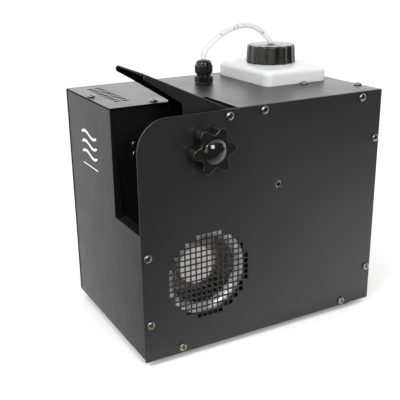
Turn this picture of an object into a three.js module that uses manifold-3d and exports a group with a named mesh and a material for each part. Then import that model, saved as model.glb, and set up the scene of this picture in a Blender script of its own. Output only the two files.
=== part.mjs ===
// Fog machine (hazer): folded sheet-metal case with a centrifugal blower, a
// heated fog nozzle in an open outlet channel, a tilting deflector flap held by
// a star knob, a lift-out fluid bottle with a screw cap, and a rear control
// and connector panel.
// Units are millimetres. +X is the blower side, -Y is the front (fog outlet), +Z is up.
// Parts are modelled about the case's middle, with z = 0 at the nominal underside of
// the case. The finished model is moved so that z = 0 is the underside of the feet.

import * as THREE from "three";
import { mergeVertices } from "three/addons/utils/BufferGeometryUtils.js";
import Module from "manifold-3d";

const wasm = await Module();
wasm.setup();

const { degToRad } = THREE.MathUtils;

// ---------------------------------------------------------------- dimensions
const BODY_WIDTH = 190.8; // X
const BODY_DEPTH = 291.8; // Y
const BODY_HEIGHT = 250; // Z, without feet
const FOOT_HEIGHT = 8; // below the case
const SHEET = 1.5; // sheet thickness
const GAP = 0.3; // clearance between neighbours
const FLANGE = 12.5; // width of the folded screw flanges
const SIDE_PANEL_BOTTOM = -1.2; // both side panels reach a little below the chassis
const MIDDLE = { x: 10.55, y: 1.75 }; // middle of the overall box, from the case's middle

const SIDE_X = BODY_WIDTH / 2; // outer face of the right side panel
const INNER_X = SIDE_X - SHEET - GAP; // outermost x inside the side panels
const CASE_FRONT = -BODY_DEPTH / 2;
const CASE_REAR = BODY_DEPTH / 2;
const FRONT_FACE = CASE_FRONT + 0.6; // outer face of the front panel
const REAR_FACE = CASE_REAR - 0.5; // outer face of the rear panel
const BEHIND_FRONT = FRONT_FACE + SHEET + GAP; // foremost y behind the front panel
const FLOOR_Z = 0.6; // underside of the bottom panel
const STAND_Z = FLOOR_Z + SHEET + GAP; // underside of parts standing on the bottom panel
const FOLD_TOP = BODY_HEIGHT - SHEET - GAP; // highest z under the top cover

const CHANNEL_X = 32; // far wall of the outlet channel
const CHANNEL_Y = -36; // rear wall
const CHANNEL_Z = 137; // front lip
const LINER_X = CHANNEL_X - SHEET - GAP; // channel face of the liner's far wall
const LINER_Z = CHANNEL_Z - 2 * SHEET - GAP; // underside of the liner's floor

const SCREW_R = 2; // M4
const SCREW_LENGTH = 9;
const HOLE_R = SCREW_R + GAP;
const CASE_SCREW = { radius: SCREW_R, headRadius: 4.3, headHeight: 2.5 };
const NOZZLE_SCREW = { radius: 1.5, headRadius: 2.9, headHeight: 1.4 };
const NOZZLE_HOLE_R = 1.85;

// Centres are pairs in the plane square to the part's axis, see FRAMES.
const SIDE_SCREWS = [ // y, z, shank length
  [-47.1, 243.2, 3.7], [-6.8, 244.6, SCREW_LENGTH], [118.2, 243.8, SCREW_LENGTH],
  [140.0, 196.6, SCREW_LENGTH], [139.9, 40.7, SCREW_LENGTH], [105.2, 4.9, SCREW_LENGTH],
  [-103.5, 5.7, SCREW_LENGTH], [-138.9, 40.7, SCREW_LENGTH], [-139.3, 113.4, SCREW_LENGTH],
];
const TOP_SCREWS = [[-33.2, -139.6], [22.9, -93.0], [25.2, 94.0], [62.9, 139.8]]; // x, y
const NOZZLE_SCREWS = [[-120.6, 211.4], [-120.2, 200.9]]; // y, z
const FEET = { // x, y
  rear_right: [78, 121],
  rear_left: [-78, 121],
  front_right: [58, -118],
  front_left: [-58, -118],
};
const BRACKET_HOLE = { centre: [13.6, 163.4], radius: 4.3 }; // y, z, in both side panels

const FAN = [-70.25, 80.1]; // y, z of the blower axis and the middle of its grille
const [FAN_Y, FAN_Z] = FAN;
const PIVOT = [-71.7, 214.6]; // y, z of the flap pivot axis
const [PIVOT_Y, PIVOT_Z] = PIVOT;
const STUD_R = 3; // M6 clamp stud
const STUD_HOLE_R = STUD_R + GAP;
const NOZZLE = [-110.6, 206]; // y, z
const GLAND = [-40.7, 0.55]; // x, y
const CAP = [-38.65, 91.05]; // x, y of the bottle's neck and cap
const HOSE_R = 3;
const TANK = {
  left: -89.5, right: 19.5, front: 47, rear: 131.5, bottom: 98, top: 267.2,
  cornerRadius: 9, wall: 2,
};

// Rear panel controls, as [x, z] centres, all lined up on one x.
const CONTROLS_X = 56;
const DISPLAY = [CONTROLS_X, 215];
const BUTTONS = [-1.5, -0.5, 0.5, 1.5].map((step) => [CONTROLS_X + step * 12, 186]);
const SIGNAL_IN = [CONTROLS_X - 18, 147];
const SIGNAL_OUT = [CONTROLS_X + 18, 147];
const SWITCH = [CONTROLS_X, 97];
const INLET = [CONTROLS_X, 52];
const FUSE = [CONTROLS_X, 38.5];

// ------------------------------------------------------------------ finishes
const FINISH = {
  paint: { color: 0x1c1d1e, roughness: 0.55, metalness: 0.15 },
  coverPaint: { color: 0x26282a, roughness: 0.5, metalness: 0.15 },
  ductPaint: { color: 0x161718, roughness: 0.6, metalness: 0.15 },
  rubber: { color: 0x141414, roughness: 0.9, metalness: 0 },
  plastic: { color: 0x101112, roughness: 0.4, metalness: 0 },
  steel: { color: 0xb9bcc0, roughness: 0.3, metalness: 1 },
  zinc: { color: 0xa9adb2, roughness: 0.4, metalness: 0.9 },
  knob: { color: 0x121314, roughness: 0.35, metalness: 0 },
  knobCap: { color: 0x0c0c0d, roughness: 0.12, metalness: 0 },
  bottle: { color: 0xe9ebec, roughness: 0.45, metalness: 0 },
  bottleCap: { color: 0x0e0f10, roughness: 0.45, metalness: 0 },
  seal: { color: 0x2a2a2a, roughness: 0.8, metalness: 0 },
  hose: { color: 0xdfe3e4, roughness: 0.2, metalness: 0 },
  blowerHousing: { color: 0x3a3d3e, roughness: 0.5, metalness: 0.3 },
  blowerWheel: { color: 0x6b6a58, roughness: 0.5, metalness: 0.2 },
  rotor: { color: 0xc9cbcc, roughness: 0.35, metalness: 0.6 },
  heater: { color: 0x9a9c9e, roughness: 0.5, metalness: 0.9 },
  pump: { color: 0x2b2d30, roughness: 0.5, metalness: 0.1 },
  copper: { color: 0xb87333, roughness: 0.3, metalness: 0.9 },
  board: { color: 0x1f5a34, roughness: 0.5, metalness: 0 },
  display: { color: 0x2a0d0d, roughness: 0.1, metalness: 0 },
  socket: { color: 0x18191a, roughness: 0.4, metalness: 0.3 },
  switchBody: { color: 0x111213, roughness: 0.4, metalness: 0 },
  rocker: { color: 0x161616, roughness: 0.3, metalness: 0 },
  inlet: { color: 0x131415, roughness: 0.45, metalness: 0 },
  fuseDrawer: { color: 0x17181a, roughness: 0.4, metalness: 0 },
};

// ------------------------------------------------------------------- solids
// A three.js geometry as a manifold-3d solid, outward facing.
function solid(geometry) {
  for (const name of Object.keys(geometry.attributes)) {
    if (name !== "position") geometry.deleteAttribute(name);
  }
  const merged = mergeVertices(geometry, 1e-4);
  const triangles = [];
  for (let i = 0; i < merged.index.count; i += 3) {
    const corners = [0, 1, 2].map((k) => merged.index.getX(i + k));
    if (new Set(corners).size === 3) triangles.push(corners);
  }
  const build = (faces) =>
    new wasm.Manifold(
      new wasm.Mesh({
        numProp: 3,
        vertProperties: new Float32Array(merged.attributes.position.array),
        triVerts: new Uint32Array(faces.flat()),
      }),
    );
  const built = build(triangles);
  return built.volume() >= 0 ? built : build(triangles.map(([a, b, c]) => [b, a, c]));
}

const add = (...parts) => parts.reduce((sum, part) => wasm.Manifold.union(sum, part));
const cut = (body, ...tools) =>
  tools.reduce((rest, tool) => wasm.Manifold.difference(rest, tool), body);
const meet = (one, other) => wasm.Manifold.intersection(one, other);

// The range of a given size about a middle.
const span = (middle, size) => [middle - size / 2, middle + size / 2];

// A box from its three ranges.
function box([x0, x1], [y0, y1], [z0, z1]) {
  const geometry = new THREE.BoxGeometry(x1 - x0, y1 - y0, z1 - z0);
  return solid(geometry.translate((x0 + x1) / 2, (y0 + y1) / 2, (z0 + z1) / 2));
}

// Maps a flat outline and the distance along the named axis to x, y, z.
const FRAMES = {
  x: new THREE.Matrix4().set(0, 0, 1, 0, 1, 0, 0, 0, 0, 1, 0, 0, 0, 0, 0, 1), // outline y, z
  y: new THREE.Matrix4().set(1, 0, 0, 0, 0, 0, 1, 0, 0, 1, 0, 0, 0, 0, 0, 1), // outline x, z
  z: new THREE.Matrix4(), // outline x, y
};

// A flat outline pushed along an axis, with optional hole outlines.
function prism(axis, outline, from, to, holes = []) {
  const geometry = new THREE.ExtrudeGeometry(shapeOf(outline), {
    depth: to - from,
    bevelEnabled: false,
  });
  geometry.translate(0, 0, from).applyMatrix4(FRAMES[axis]);
  return cut(solid(geometry), ...holes.map((hole) => prism(axis, hole, from - 1, to + 1)));
}

// A round bar or hole.
const rod = (axis, centre, radius, from, to, segments = 20) =>
  prism(axis, circle(centre, radius, segments), from, to);

// A turned piece: profile is [radius, distance along the axis].
function turned(axis, [first, second], profile, segments) {
  const points = profile.map((point) => new THREE.Vector2(...point));
  const geometry = new THREE.LatheGeometry(points, segments);
  geometry.rotateX(Math.PI / 2); // lathe axis to +Z
  geometry.translate(first, second, 0).applyMatrix4(FRAMES[axis]);
  return solid(geometry);
}

// A turned ring of rectangular section.
const ring = (axis, centre, inner, outer, from, to, segments) =>
  turned(
    axis,
    centre,
    [[inner, from], [outer, from], [outer, to], [inner, to], [inner, from]],
    segments,
  );

// Smooth path whose sections are shared out evenly between its listed points.
class EvenPath extends THREE.CatmullRomCurve3 {
  getUtoTmapping(fraction) {
    return fraction;
  }
}

// A round bar, or a pipe if it has a bore, along a smooth path.
function pipe(points, { radius, bore, steps, segments }) {
  const vectors = points.map((point) => new THREE.Vector3(...point));
  const section = shapeOf(polygon([0, 0], radius, segments, 0));
  if (bore) section.holes.push(shapeOf(circle([0, 0], bore, segments).reverse()));
  const extrudePath = new EvenPath(vectors, false, "centripetal");
  return solid(new THREE.ExtrudeGeometry(section, { steps, extrudePath }));
}

// ------------------------------------------------------------------ outlines
function shapeOf(points) {
  const shape = new THREE.Shape(points.map((point) => new THREE.Vector2(...point)));
  shape.closePath();
  return shape;
}

const polar = ([first, second], radius, angle) => [
  first + radius * Math.cos(angle),
  second + radius * Math.sin(angle),
];

// Regular polygon, its first corner turned by a share of one side's angle.
const polygon = (centre, radius, sides, turn) =>
  Array.from({ length: sides }, (_, i) =>
    polar(centre, radius, ((i + turn) / sides) * 2 * Math.PI));

const circle = (centre, radius, segments) => polygon(centre, radius, segments, 0.5);

// Points along an arc, with angles in degrees.
const arc = (centre, radius, from, to, steps) =>
  Array.from({ length: steps + 1 }, (_, i) =>
    polar(centre, radius, degToRad(from + ((to - from) * i) / steps)));

const rectangle = ([left, right], [low, high]) => [
  [left, low], [left, high], [right, high], [right, low],
];

// Rounded rectangle. Radii: one for all, or low left, low right, high right, high left.
function rounded([left, right], [low, high], radii, steps) {
  const all = Array.isArray(radii) ? radii : Array(4).fill(radii);
  const [lowLeft, lowRight, highRight, highLeft] = all;
  return [
    ...arc([left + lowLeft, low + lowLeft], lowLeft, 180, 270, steps),
    ...arc([right - lowRight, low + lowRight], lowRight, -90, 0, steps),
    ...arc([right - highRight, high - highRight], highRight, 0, 90, steps),
    ...arc([left + highLeft, high - highLeft], highLeft, 90, 180, steps),
  ];
}

// -------------------------------------------------------------- screw holes
const sideScrewHoles = (from, to) =>
  SIDE_SCREWS.map((place) => rod("x", place, HOLE_R, from, to, 8));
const sideFlangeHoles = () => sideScrewHoles(INNER_X - 3, INNER_X + 1);
const topFlangeHole = (place) => rod("z", place, HOLE_R, FOLD_TOP - 4, FOLD_TOP + 1, 8);
const nozzleScrewHoles = (from, to) =>
  NOZZLE_SCREWS.map((place) => rod("x", place, NOZZLE_HOLE_R, from, to, 8));

// ---------------------------------------------------------------------- case
// Cutouts in the rear panel for the controls and connectors.
function rearCutouts() {
  const depth = [REAR_FACE - 3, REAR_FACE + 1];
  const window = ([x, z], width, height) => box(span(x, width), depth, span(z, height));
  return [
    window(DISPLAY, 40.6, 16.6),
    ...BUTTONS.map((centre) => rod("y", centre, 3.9, ...depth, 12)),
    rod("y", SIGNAL_IN, 12.3, ...depth),
    rod("y", SIGNAL_OUT, 12.3, ...depth),
    window(SWITCH, 21, 17.6),
    window(INLET, 27.6, 40.6),
  ];
}

// Front, bottom and rear panel folded from one sheet, with screw flanges.
function chassisWrap() {
  const width = [-INNER_X, INNER_X];
  const depth = [FRONT_FACE, REAR_FACE];
  const height = [FLOOR_Z, FOLD_TOP];
  const topSheet = [FOLD_TOP - SHEET, FOLD_TOP];
  const frontOutline = [
    [-INNER_X, FLOOR_Z], [INNER_X, FLOOR_Z], [INNER_X, CHANNEL_Z],
    [CHANNEL_X, CHANNEL_Z], [CHANNEL_X, FOLD_TOP], [-INNER_X, FOLD_TOP],
  ];
  // Return flange along the channel's far wall: it narrows towards the top.
  const bandOutline = [
    [FRONT_FACE, CHANNEL_Z - SHEET], [FRONT_FACE + 11, CHANNEL_Z - SHEET],
    [FRONT_FACE + 9.2, CHANNEL_Z], [FRONT_FACE + 2.2, FOLD_TOP], [FRONT_FACE, FOLD_TOP],
  ];
  const sideFlanges = (sheet, frontTop) => [
    box(sheet, [FRONT_FACE, FRONT_FACE + FLANGE + 1], [FLOOR_Z, frontTop]),
    box(sheet, [REAR_FACE - FLANGE - 1, REAR_FACE], height),
    box(sheet, depth, [FLOOR_Z, FLOOR_Z + FLANGE]),
  ];
  const wrap = add(
    prism("y", frontOutline, FRONT_FACE, FRONT_FACE + SHEET),
    box(width, depth, [FLOOR_Z, FLOOR_Z + SHEET]), // bottom
    box(width, [REAR_FACE - SHEET, REAR_FACE], height), // rear
    box( // channel lip
      [CHANNEL_X - SHEET, INNER_X],
      [FRONT_FACE, FRONT_FACE + 12.2],
      [CHANNEL_Z - SHEET, CHANNEL_Z],
    ),
    prism("x", bandOutline, CHANNEL_X - SHEET, CHANNEL_X),
    ...sideFlanges([INNER_X - SHEET, INNER_X], CHANNEL_Z),
    ...sideFlanges([-INNER_X, -INNER_X + SHEET], FOLD_TOP),
    box([-INNER_X, CHANNEL_X - 5], [FRONT_FACE, FRONT_FACE + FLANGE], topSheet),
    box(width, [REAR_FACE - FLANGE, REAR_FACE], topSheet),
  );
  return cut(
    wrap,
    ...sideFlangeHoles(),
    topFlangeHole(TOP_SCREWS[0]),
    topFlangeHole(TOP_SCREWS[3]),
    ...Object.values(FEET).map((place) => rod("z", place, 3.4, FLOOR_Z - 1, FLOOR_Z + 3, 12)),
    ...rearCutouts(),
  );
}

// Square blower grille holes on a regular pitch, filling a rough circle.
function grilleHoles() {
  const pitch = 6.25;
  const size = 5.1;
  const halfRows = [7, 7, 7, 6, 6, 5, 4, 2]; // half width in holes, by rows from the centre
  const holes = [];
  for (let row = -7; row <= 7; row++) {
    const half = halfRows[Math.abs(row)];
    for (let column = -half; column <= half; column++) {
      holes.push(
        box(
          [SIDE_X - SHEET - 1, SIDE_X + 1],
          span(FAN_Y + column * pitch, size),
          span(FAN_Z + row * pitch, size),
        ),
      );
    }
  }
  return holes;
}

// Side panel outline from the radius of its top front corner.
const sidePanelOutline = (topFrontRadius, steps) =>
  rounded(
    [CASE_FRONT, CASE_REAR],
    [SIDE_PANEL_BOTTOM, BODY_HEIGHT],
    [5, 1, 1, topFrontRadius],
    steps,
  );

function rightSidePanel() {
  const inside = SIDE_X - SHEET;
  const through = [inside - 1, SIDE_X + 1];
  return cut(
    prism("x", sidePanelOutline(32, 9), inside, SIDE_X),
    ...grilleHoles(),
    ...sideScrewHoles(...through),
    rod("x", PIVOT, STUD_HOLE_R, ...through, 16),
    rod("x", BRACKET_HOLE.centre, BRACKET_HOLE.radius, ...through),
  );
}

function leftSidePanel() {
  const louvres = [];
  for (const middleY of [-90, -12]) {
    for (let i = 0; i < 9; i++) {
      const z = 60 + i * 8;
      louvres.push(rectangle(span(middleY, 56), [z, z + 3]));
    }
  }
  const bracketHole = circle(BRACKET_HOLE.centre, BRACKET_HOLE.radius, 20);
  return prism("x", sidePanelOutline(4, 5), -SIDE_X, -SIDE_X + SHEET, [
    ...louvres,
    bracketHole,
  ]);
}

function topCover() {
  const underside = BODY_HEIGHT - SHEET;
  const outline = [
    [-INNER_X, FRONT_FACE], [CHANNEL_X, FRONT_FACE], [CHANNEL_X, CHANNEL_Y],
    [INNER_X, CHANNEL_Y], [INNER_X, REAR_FACE], [-INNER_X, REAR_FACE],
  ];
  const slots = [];
  for (let i = 0; i < 10; i++) {
    const x = -75 + i * 8.6;
    for (const y of [-124.8, -115.5]) slots.push(rectangle(span(x, 2.6), span(y, 5.6)));
  }
  const clearance = 0.8; // around the bottle
  const tankOpening = rounded(
    [TANK.left - clearance, TANK.right + clearance],
    [TANK.front - clearance, TANK.rear + clearance],
    TANK.cornerRadius + clearance,
    5,
  );
  const plate = prism("z", outline, underside, BODY_HEIGHT, [
    ...slots,
    tankOpening,
    circle(GLAND, 7.9, 16),
    ...TOP_SCREWS.map((place) => circle(place, HOLE_R, 8)),
  ]);
  const flangeHeight = [underside - FLANGE + 1, BODY_HEIGHT];
  const flangeRear = 130.5;
  return cut(
    add(
      plate,
      box([INNER_X - SHEET, INNER_X], [CHANNEL_Y + 2, flangeRear], flangeHeight),
      box([-INNER_X, -INNER_X + SHEET], [-130, flangeRear], flangeHeight),
    ),
    ...sideFlangeHoles(),
  );
}

// Outlet channel liner: far wall, rear wall, floor and two flanges.
function outletDuct() {
  const wall = [LINER_X - SHEET, LINER_X];
  const depth = [BEHIND_FRONT, CHANNEL_Y];
  const height = [LINER_Z, FOLD_TOP];
  const behindChannel = CHANNEL_Y - SHEET; // face of the rear wall
  const throughFloor = [LINER_Z - 1, LINER_Z + 3];
  const throughWall = [LINER_X - 5, LINER_X + 2];
  return cut(
    add(
      box(wall, depth, height),
      box([LINER_X - SHEET, INNER_X - SHEET - GAP], [behindChannel, CHANNEL_Y], height),
      box([LINER_X - SHEET, INNER_X], depth, [LINER_Z, LINER_Z + SHEET]),
      // Flange under the top cover.
      box([15, LINER_X], [-126, CHANNEL_Y - 4], [FOLD_TOP - SHEET, FOLD_TOP]),
      // Flange behind the side panel.
      box(
        [INNER_X - SHEET, INNER_X],
        [behindChannel - 14, CHANNEL_Y],
        [LINER_Z, FOLD_TOP - 0.2],
      ),
    ),
    // Clearance for the chassis' front flange.
    box(
      [INNER_X - SHEET - GAP, INNER_X + 1],
      [BEHIND_FRONT - 1, FRONT_FACE + FLANGE + 1 + GAP],
      throughFloor,
    ),
    box([40.5, 81.5], [-134.6, -104.6], throughFloor), // blower outlet
    rod("x", NOZZLE, 6.8, ...throughWall, 16),
    ...nozzleScrewHoles(...throughWall),
    rod("x", PIVOT, STUD_HOLE_R, ...throughWall, 12),
    topFlangeHole(TOP_SCREWS[1]),
    ...sideFlangeHoles(),
  );
}

// ------------------------------------------------------------ deflector flap
const FLAP_TILT = degToRad(24.97); // the plate rises to the front
const FLAP_TOP = 42.95; // plate's upper face, square to the plate from the pivot
const FLAP_FRONT = -89.7; // plate's front edge, along the plate
const FLAP_REAR = 12; // plate's rear edge, along the plate
const FLAP_X = [33.8, 91.5];

// A point given along the plate, to the rear, and square to it, upwards.
const flapPoint = (along, above) => [
  PIVOT_Y + along * Math.cos(FLAP_TILT) + above * Math.sin(FLAP_TILT),
  PIVOT_Z - along * Math.sin(FLAP_TILT) + above * Math.cos(FLAP_TILT),
];

function deflectorFlap() {
  const fromPivot = (points) => points.map(([y, z]) => [PIVOT_Y + y, PIVOT_Z + z]);
  const [left, right] = FLAP_X;
  const plate = [
    flapPoint(FLAP_FRONT, FLAP_TOP),
    flapPoint(FLAP_FRONT, FLAP_TOP - SHEET),
    flapPoint(FLAP_REAR, FLAP_TOP - SHEET),
    flapPoint(FLAP_REAR, FLAP_TOP),
  ];
  // Cheek tables are y, z from the pivot.
  const nearCheek = [
    flapPoint(FLAP_REAR, FLAP_TOP),
    flapPoint(FLAP_FRONT + 2, FLAP_TOP),
    ...fromPivot([
      [-62.3, 71.9], [-61.6, 70.7], [-25.6, 46.2], [-24, 44.2], [-23.4, 41.6], [-23.4, 0],
    ]),
    ...arc(PIVOT, 24, 195, 345, 10),
    ...fromPivot([[24, 0], [25.2, 12]]),
  ];
  const farCheek = [
    flapPoint(FLAP_REAR, FLAP_TOP),
    flapPoint(FLAP_FRONT, FLAP_TOP),
    ...fromPivot([
      [-64.8, 76], [-65.5, 74.8], [-65.5, 72.7], [-64.8, 71.5], [-63.4, 70.6],
      [-51.2, 63.2], [-30.3, 49.8], [-10.8, 37.4],
    ]),
    ...arc(PIVOT, 12, 180, 360, 10),
  ];
  return cut(
    add(
      prism("x", plate, left, right),
      prism("x", nearCheek, right - SHEET, right),
      prism("x", farCheek, left, left + SHEET),
    ),
    rod("x", PIVOT, STUD_HOLE_R, left - 5, right + 5, 16),
  );
}

// Clamp stud: head inside the near cheek, thread through the side panel.
function clampStud() {
  const shoulder = FLAP_X[1] - SHEET - GAP;
  const profile = [
    [0, 85.6], [5.2, 85.6], [6.5, 87.4], [6.5, shoulder],
    [STUD_R, shoulder], [STUD_R, 106.4], [2.4, 107], [0, 107],
  ];
  return turned("x", PIVOT, profile, 16);
}

// Pivot bolt of the far cheek.
function pivotBolt() {
  const shoulder = FLAP_X[0] + SHEET + GAP;
  const profile = [
    [0, 21], [2.5, 21], [STUD_R, 21.6], [STUD_R, shoulder],
    [6, shoulder], [6, 38.6], [5, 39.4], [0, 39.4],
  ];
  return turned("x", PIVOT, profile, 16);
}

// ----------------------------------------------------------------- star knob
const KNOB_R = 23.6; // over the lobes
const KNOB_BACK = SIDE_X + 2.1; // side towards the case
const KNOB_FACE = SIDE_X + 15.6;

// Six-lobed outline about a mean radius.
function knobOutline() {
  const lobes = 6;
  const meanRadius = 19.9;
  const lobeHeight = 3.7;
  const phase = degToRad(4);
  const count = 54;
  return Array.from({ length: count }, (_, i) => {
    const angle = (i / count) * 2 * Math.PI;
    const wave = Math.cos(lobes * (angle - phase));
    const swell = wave > 0 ? Math.pow(wave, 0.7) : -Math.pow(-wave, 0.85);
    return polar(PIVOT, meanRadius + lobeHeight * swell, angle);
  });
}

function starKnob() {
  const endRadius = KNOB_R - 1.2;
  const rimRadius = KNOB_R + 0.2;
  // The rim is eased by a turned envelope.
  const envelope = [
    [0, KNOB_BACK - 1], [endRadius, KNOB_BACK - 1], [endRadius, KNOB_BACK],
    [rimRadius, KNOB_BACK + 1.6], [rimRadius, KNOB_FACE - 2],
    [endRadius, KNOB_FACE], [endRadius, KNOB_FACE + 1], [0, KNOB_FACE + 1],
  ];
  return cut(
    meet(prism("x", knobOutline(), KNOB_BACK, KNOB_FACE), turned("x", PIVOT, envelope, 30)),
    rod("x", PIVOT, STUD_HOLE_R, KNOB_BACK - 1, 108.6, 16),
    rod("x", PIVOT, 12.8, KNOB_FACE - 1.4, KNOB_FACE + 1, 24), // cap recess
  );
}

// Domed cap in the knob's face.
function knobCap() {
  const profile = [
    [0, KNOB_FACE - 1.1], [12.4, KNOB_FACE - 1.1], [12.4, KNOB_FACE + 0.9],
    [11.4, KNOB_FACE + 2.4], [8, KNOB_FACE + 4.1], [4, KNOB_FACE + 5.2],
    [0, KNOB_FACE + 5.5],
  ];
  return turned("x", PIVOT, profile, 24);
}

// --------------------------------------------------------------- fluid bottle
const NECK_R = 25.2;
const NECK_TOP = 282.6;
const SEAL_BOTTOM = NECK_TOP + GAP;
const SEAL_TOP = 284.3;
const CAP_BOTTOM = 267.6;
const CAP_TOP = CAP_BOTTOM + 20.2;

// The bottle's block shape moved inwards by an inset, with eased edges.
function tankBlock(inset, bevel) {
  const margin = inset + bevel;
  const outline = rounded(
    [TANK.left + margin, TANK.right - margin],
    [TANK.front + margin, TANK.rear - margin],
    Math.max(TANK.cornerRadius - margin, 1),
    4,
  );
  const geometry = new THREE.ExtrudeGeometry(shapeOf(outline), {
    depth: TANK.top - TANK.bottom - 2 * margin,
    bevelEnabled: true,
    bevelThickness: bevel,
    bevelSize: bevel,
    bevelSegments: 3,
  });
  return solid(geometry.translate(0, 0, TANK.bottom + margin));
}

const fluidTank = () =>
  cut(
    add(tankBlock(0, 8), rod("z", CAP, NECK_R, TANK.top - 6, NECK_TOP, 28)),
    tankBlock(TANK.wall, 7),
    rod("z", CAP, NECK_R - 3, TANK.top - 12, 284, 28),
  );

// Tapered screw cap with grip flutes and a hose hole.
function tankCap() {
  const bottomRadius = 29.2;
  const topRadius = 27.5;
  const profile = [
    [0, CAP_BOTTOM], [bottomRadius, CAP_BOTTOM], [bottomRadius, CAP_BOTTOM + 1.2],
    [topRadius + 0.3, CAP_TOP - 1.2], [topRadius - 1, CAP_TOP], [0, CAP_TOP],
  ];
  const flutes = polygon(CAP, 33.2, 14, 0).map((centre) =>
    rod("z", centre, 5.6, CAP_BOTTOM - 1, CAP_TOP - 2.2, 10));
  return cut(
    turned("z", CAP, profile, 42),
    ...flutes,
    rod("z", CAP, NECK_R + GAP + 0.2, CAP_BOTTOM - 1, SEAL_TOP + GAP, 28),
    rod("z", CAP, HOSE_R + 0.9, CAP_BOTTOM, CAP_TOP + 1, 16),
  );
}

// Shelf and partition that carry the bottle.
function tankTray() {
  const left = -INNER_X + SHEET + GAP;
  const shelfTop = 96;
  const partitionX = 20.6;
  const outline = [
    [left, 79], [left + SHEET, 79], [left + SHEET, shelfTop - SHEET],
    [partitionX + SHEET, shelfTop - SHEET], [partitionX + SHEET, FOLD_TOP - SHEET],
    [34, FOLD_TOP - SHEET], [34, FOLD_TOP], [partitionX, FOLD_TOP],
    [partitionX, shelfTop], [left, shelfTop],
  ];
  return cut(prism("y", outline, 46, TANK.rear), topFlangeHole(TOP_SCREWS[2]));
}

// ------------------------------------------------------------ gland and hose
const GLAND_FLATS = 18.4; // body hexagon across flats
const glandHex = (acrossFlats, from, to, turn = 0) =>
  prism("z", polygon(GLAND, acrossFlats / Math.sqrt(3), 6, turn), from, to);
const glandBore = () => rod("z", GLAND, HOSE_R + 0.5, 230, 290, 12);

function glandBody() {
  const seat = BODY_HEIGHT + GAP;
  return cut(
    add(
      rod("z", GLAND, 11.2, seat, seat + 1.2, 18),
      glandHex(GLAND_FLATS, seat + 1, seat + 8),
      rod("z", GLAND, 7.4, 238.5, seat + 1, 14),
      rod("z", GLAND, 7.2, seat + 8, seat + 15, 14),
    ),
    glandBore(),
  );
}

function glandNut() {
  const dome = [
    [0, 262], [9.6, 262], [10.3, 262.8], [10.3, 270.9],
    [9.2, 271.3], [8.3, 274.2], [5.6, 276.8], [0, 276.8],
  ];
  return cut(
    meet(turned("z", GLAND, dome, 18), glandHex(GLAND_FLATS + 0.8, 250, 280, 0.5)),
    rod("z", GLAND, 7.7, 250, 266, 14),
    glandBore(),
  );
}

const glandLocknut = () =>
  cut(glandHex(20, 242.6, FOLD_TOP), rod("z", GLAND, 7.9, 240, 250, 14));

// x, y, z: pump inlet, up through the gland, over to the cap and down into the bottle.
const HOSE_PATH = [
  [-52, 33.4, 46], [-52, 40, 46], [-51.6, 44, 49], [-50.4, 45, 58],
  [-47, 36, 110], [-42.6, 10, 180],
  [...GLAND, 215], [...GLAND, 240], [...GLAND, 262], [...GLAND, 278],
  [-40.6, 1.6, 285], [-40.3, 11, 294.2], [-40, 22, 302.4], [-39.8, 32.5, 307.2],
  [-39.5, 42, 310.2], [-39.3, 53, 311.8], [-39.1, 65, 310.3], [-38.9, 73.6, 306.2],
  [-38.8, 80.8, 300.8], [-38.7, 87.2, 294.4], [CAP[0], 90.4, 290.2],
  [...CAP, 286.6], [...CAP, 280], [...CAP, 262], [...CAP, 200], [...CAP, 106],
];
const fluidHose = () =>
  pipe(HOSE_PATH, { radius: HOSE_R, bore: 2, steps: HOSE_PATH.length - 1, segments: 8 });

// --------------------------------------------------------------------- blower
const HOUSING_LEFT = 34;
const HOUSING_RIGHT = 84;
const INLET_R = 37.5; // throat of the bell mouth
const WHEEL_LEFT = HOUSING_LEFT + 8;
const WHEEL_RIGHT = HOUSING_RIGHT - 7.5;

// A pair of legs on the bottom panel, mirrored in Y, with feet turned outwards.
function legs(xRange, middleY, { inner, top, footDepth, footTop }) {
  const thickness = 3;
  return [-1, 1].flatMap((side) => [
    box(xRange, span(middleY + side * (inner + thickness / 2), thickness), [STAND_Z, top]),
    box(xRange, span(middleY + side * (inner + footDepth / 2), footDepth), [STAND_Z, footTop]),
  ]);
}

// Runs from the tongue over the top, the rear and the bottom to the front wall.
function scroll(offset) {
  const steps = 30;
  return Array.from({ length: steps + 1 }, (_, i) => {
    const done = i / steps;
    return polar(FAN, 49.4 + 17.6 * done + offset, degToRad(118 - 298 * done));
  });
}

function blowerHousing() {
  const wall = 2;
  const top = LINER_Z - GAP; // just under the channel floor
  const outer = scroll(wall);
  const inner = scroll(0);
  const frontY = FAN_Y - 67;
  const [tongueY, tongueZ] = inner[0];
  const outerOutline = [...outer, [frontY - wall, top], [outer[0][0], top]];
  const innerOutline = [
    ...inner,
    [frontY, top + 2], [tongueY - 2, top + 2], [tongueY - 2, tongueZ - 1],
  ];
  return cut(
    add(
      prism("x", outerOutline, HOUSING_LEFT, HOUSING_RIGHT),
      ...legs([38, 80], FAN_Y, { inner: 27, top: 34, footDepth: 15, footTop: 4.2 }),
    ),
    prism("x", innerOutline, HOUSING_LEFT + wall, HOUSING_RIGHT - wall),
    rod("x", FAN, INLET_R + 4, HOUSING_RIGHT - 4, HOUSING_RIGHT + 1, 40), // inlet
    rod("x", FAN, 16, HOUSING_LEFT - 1, HOUSING_LEFT + 4, 24), // motor
  );
}

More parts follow.
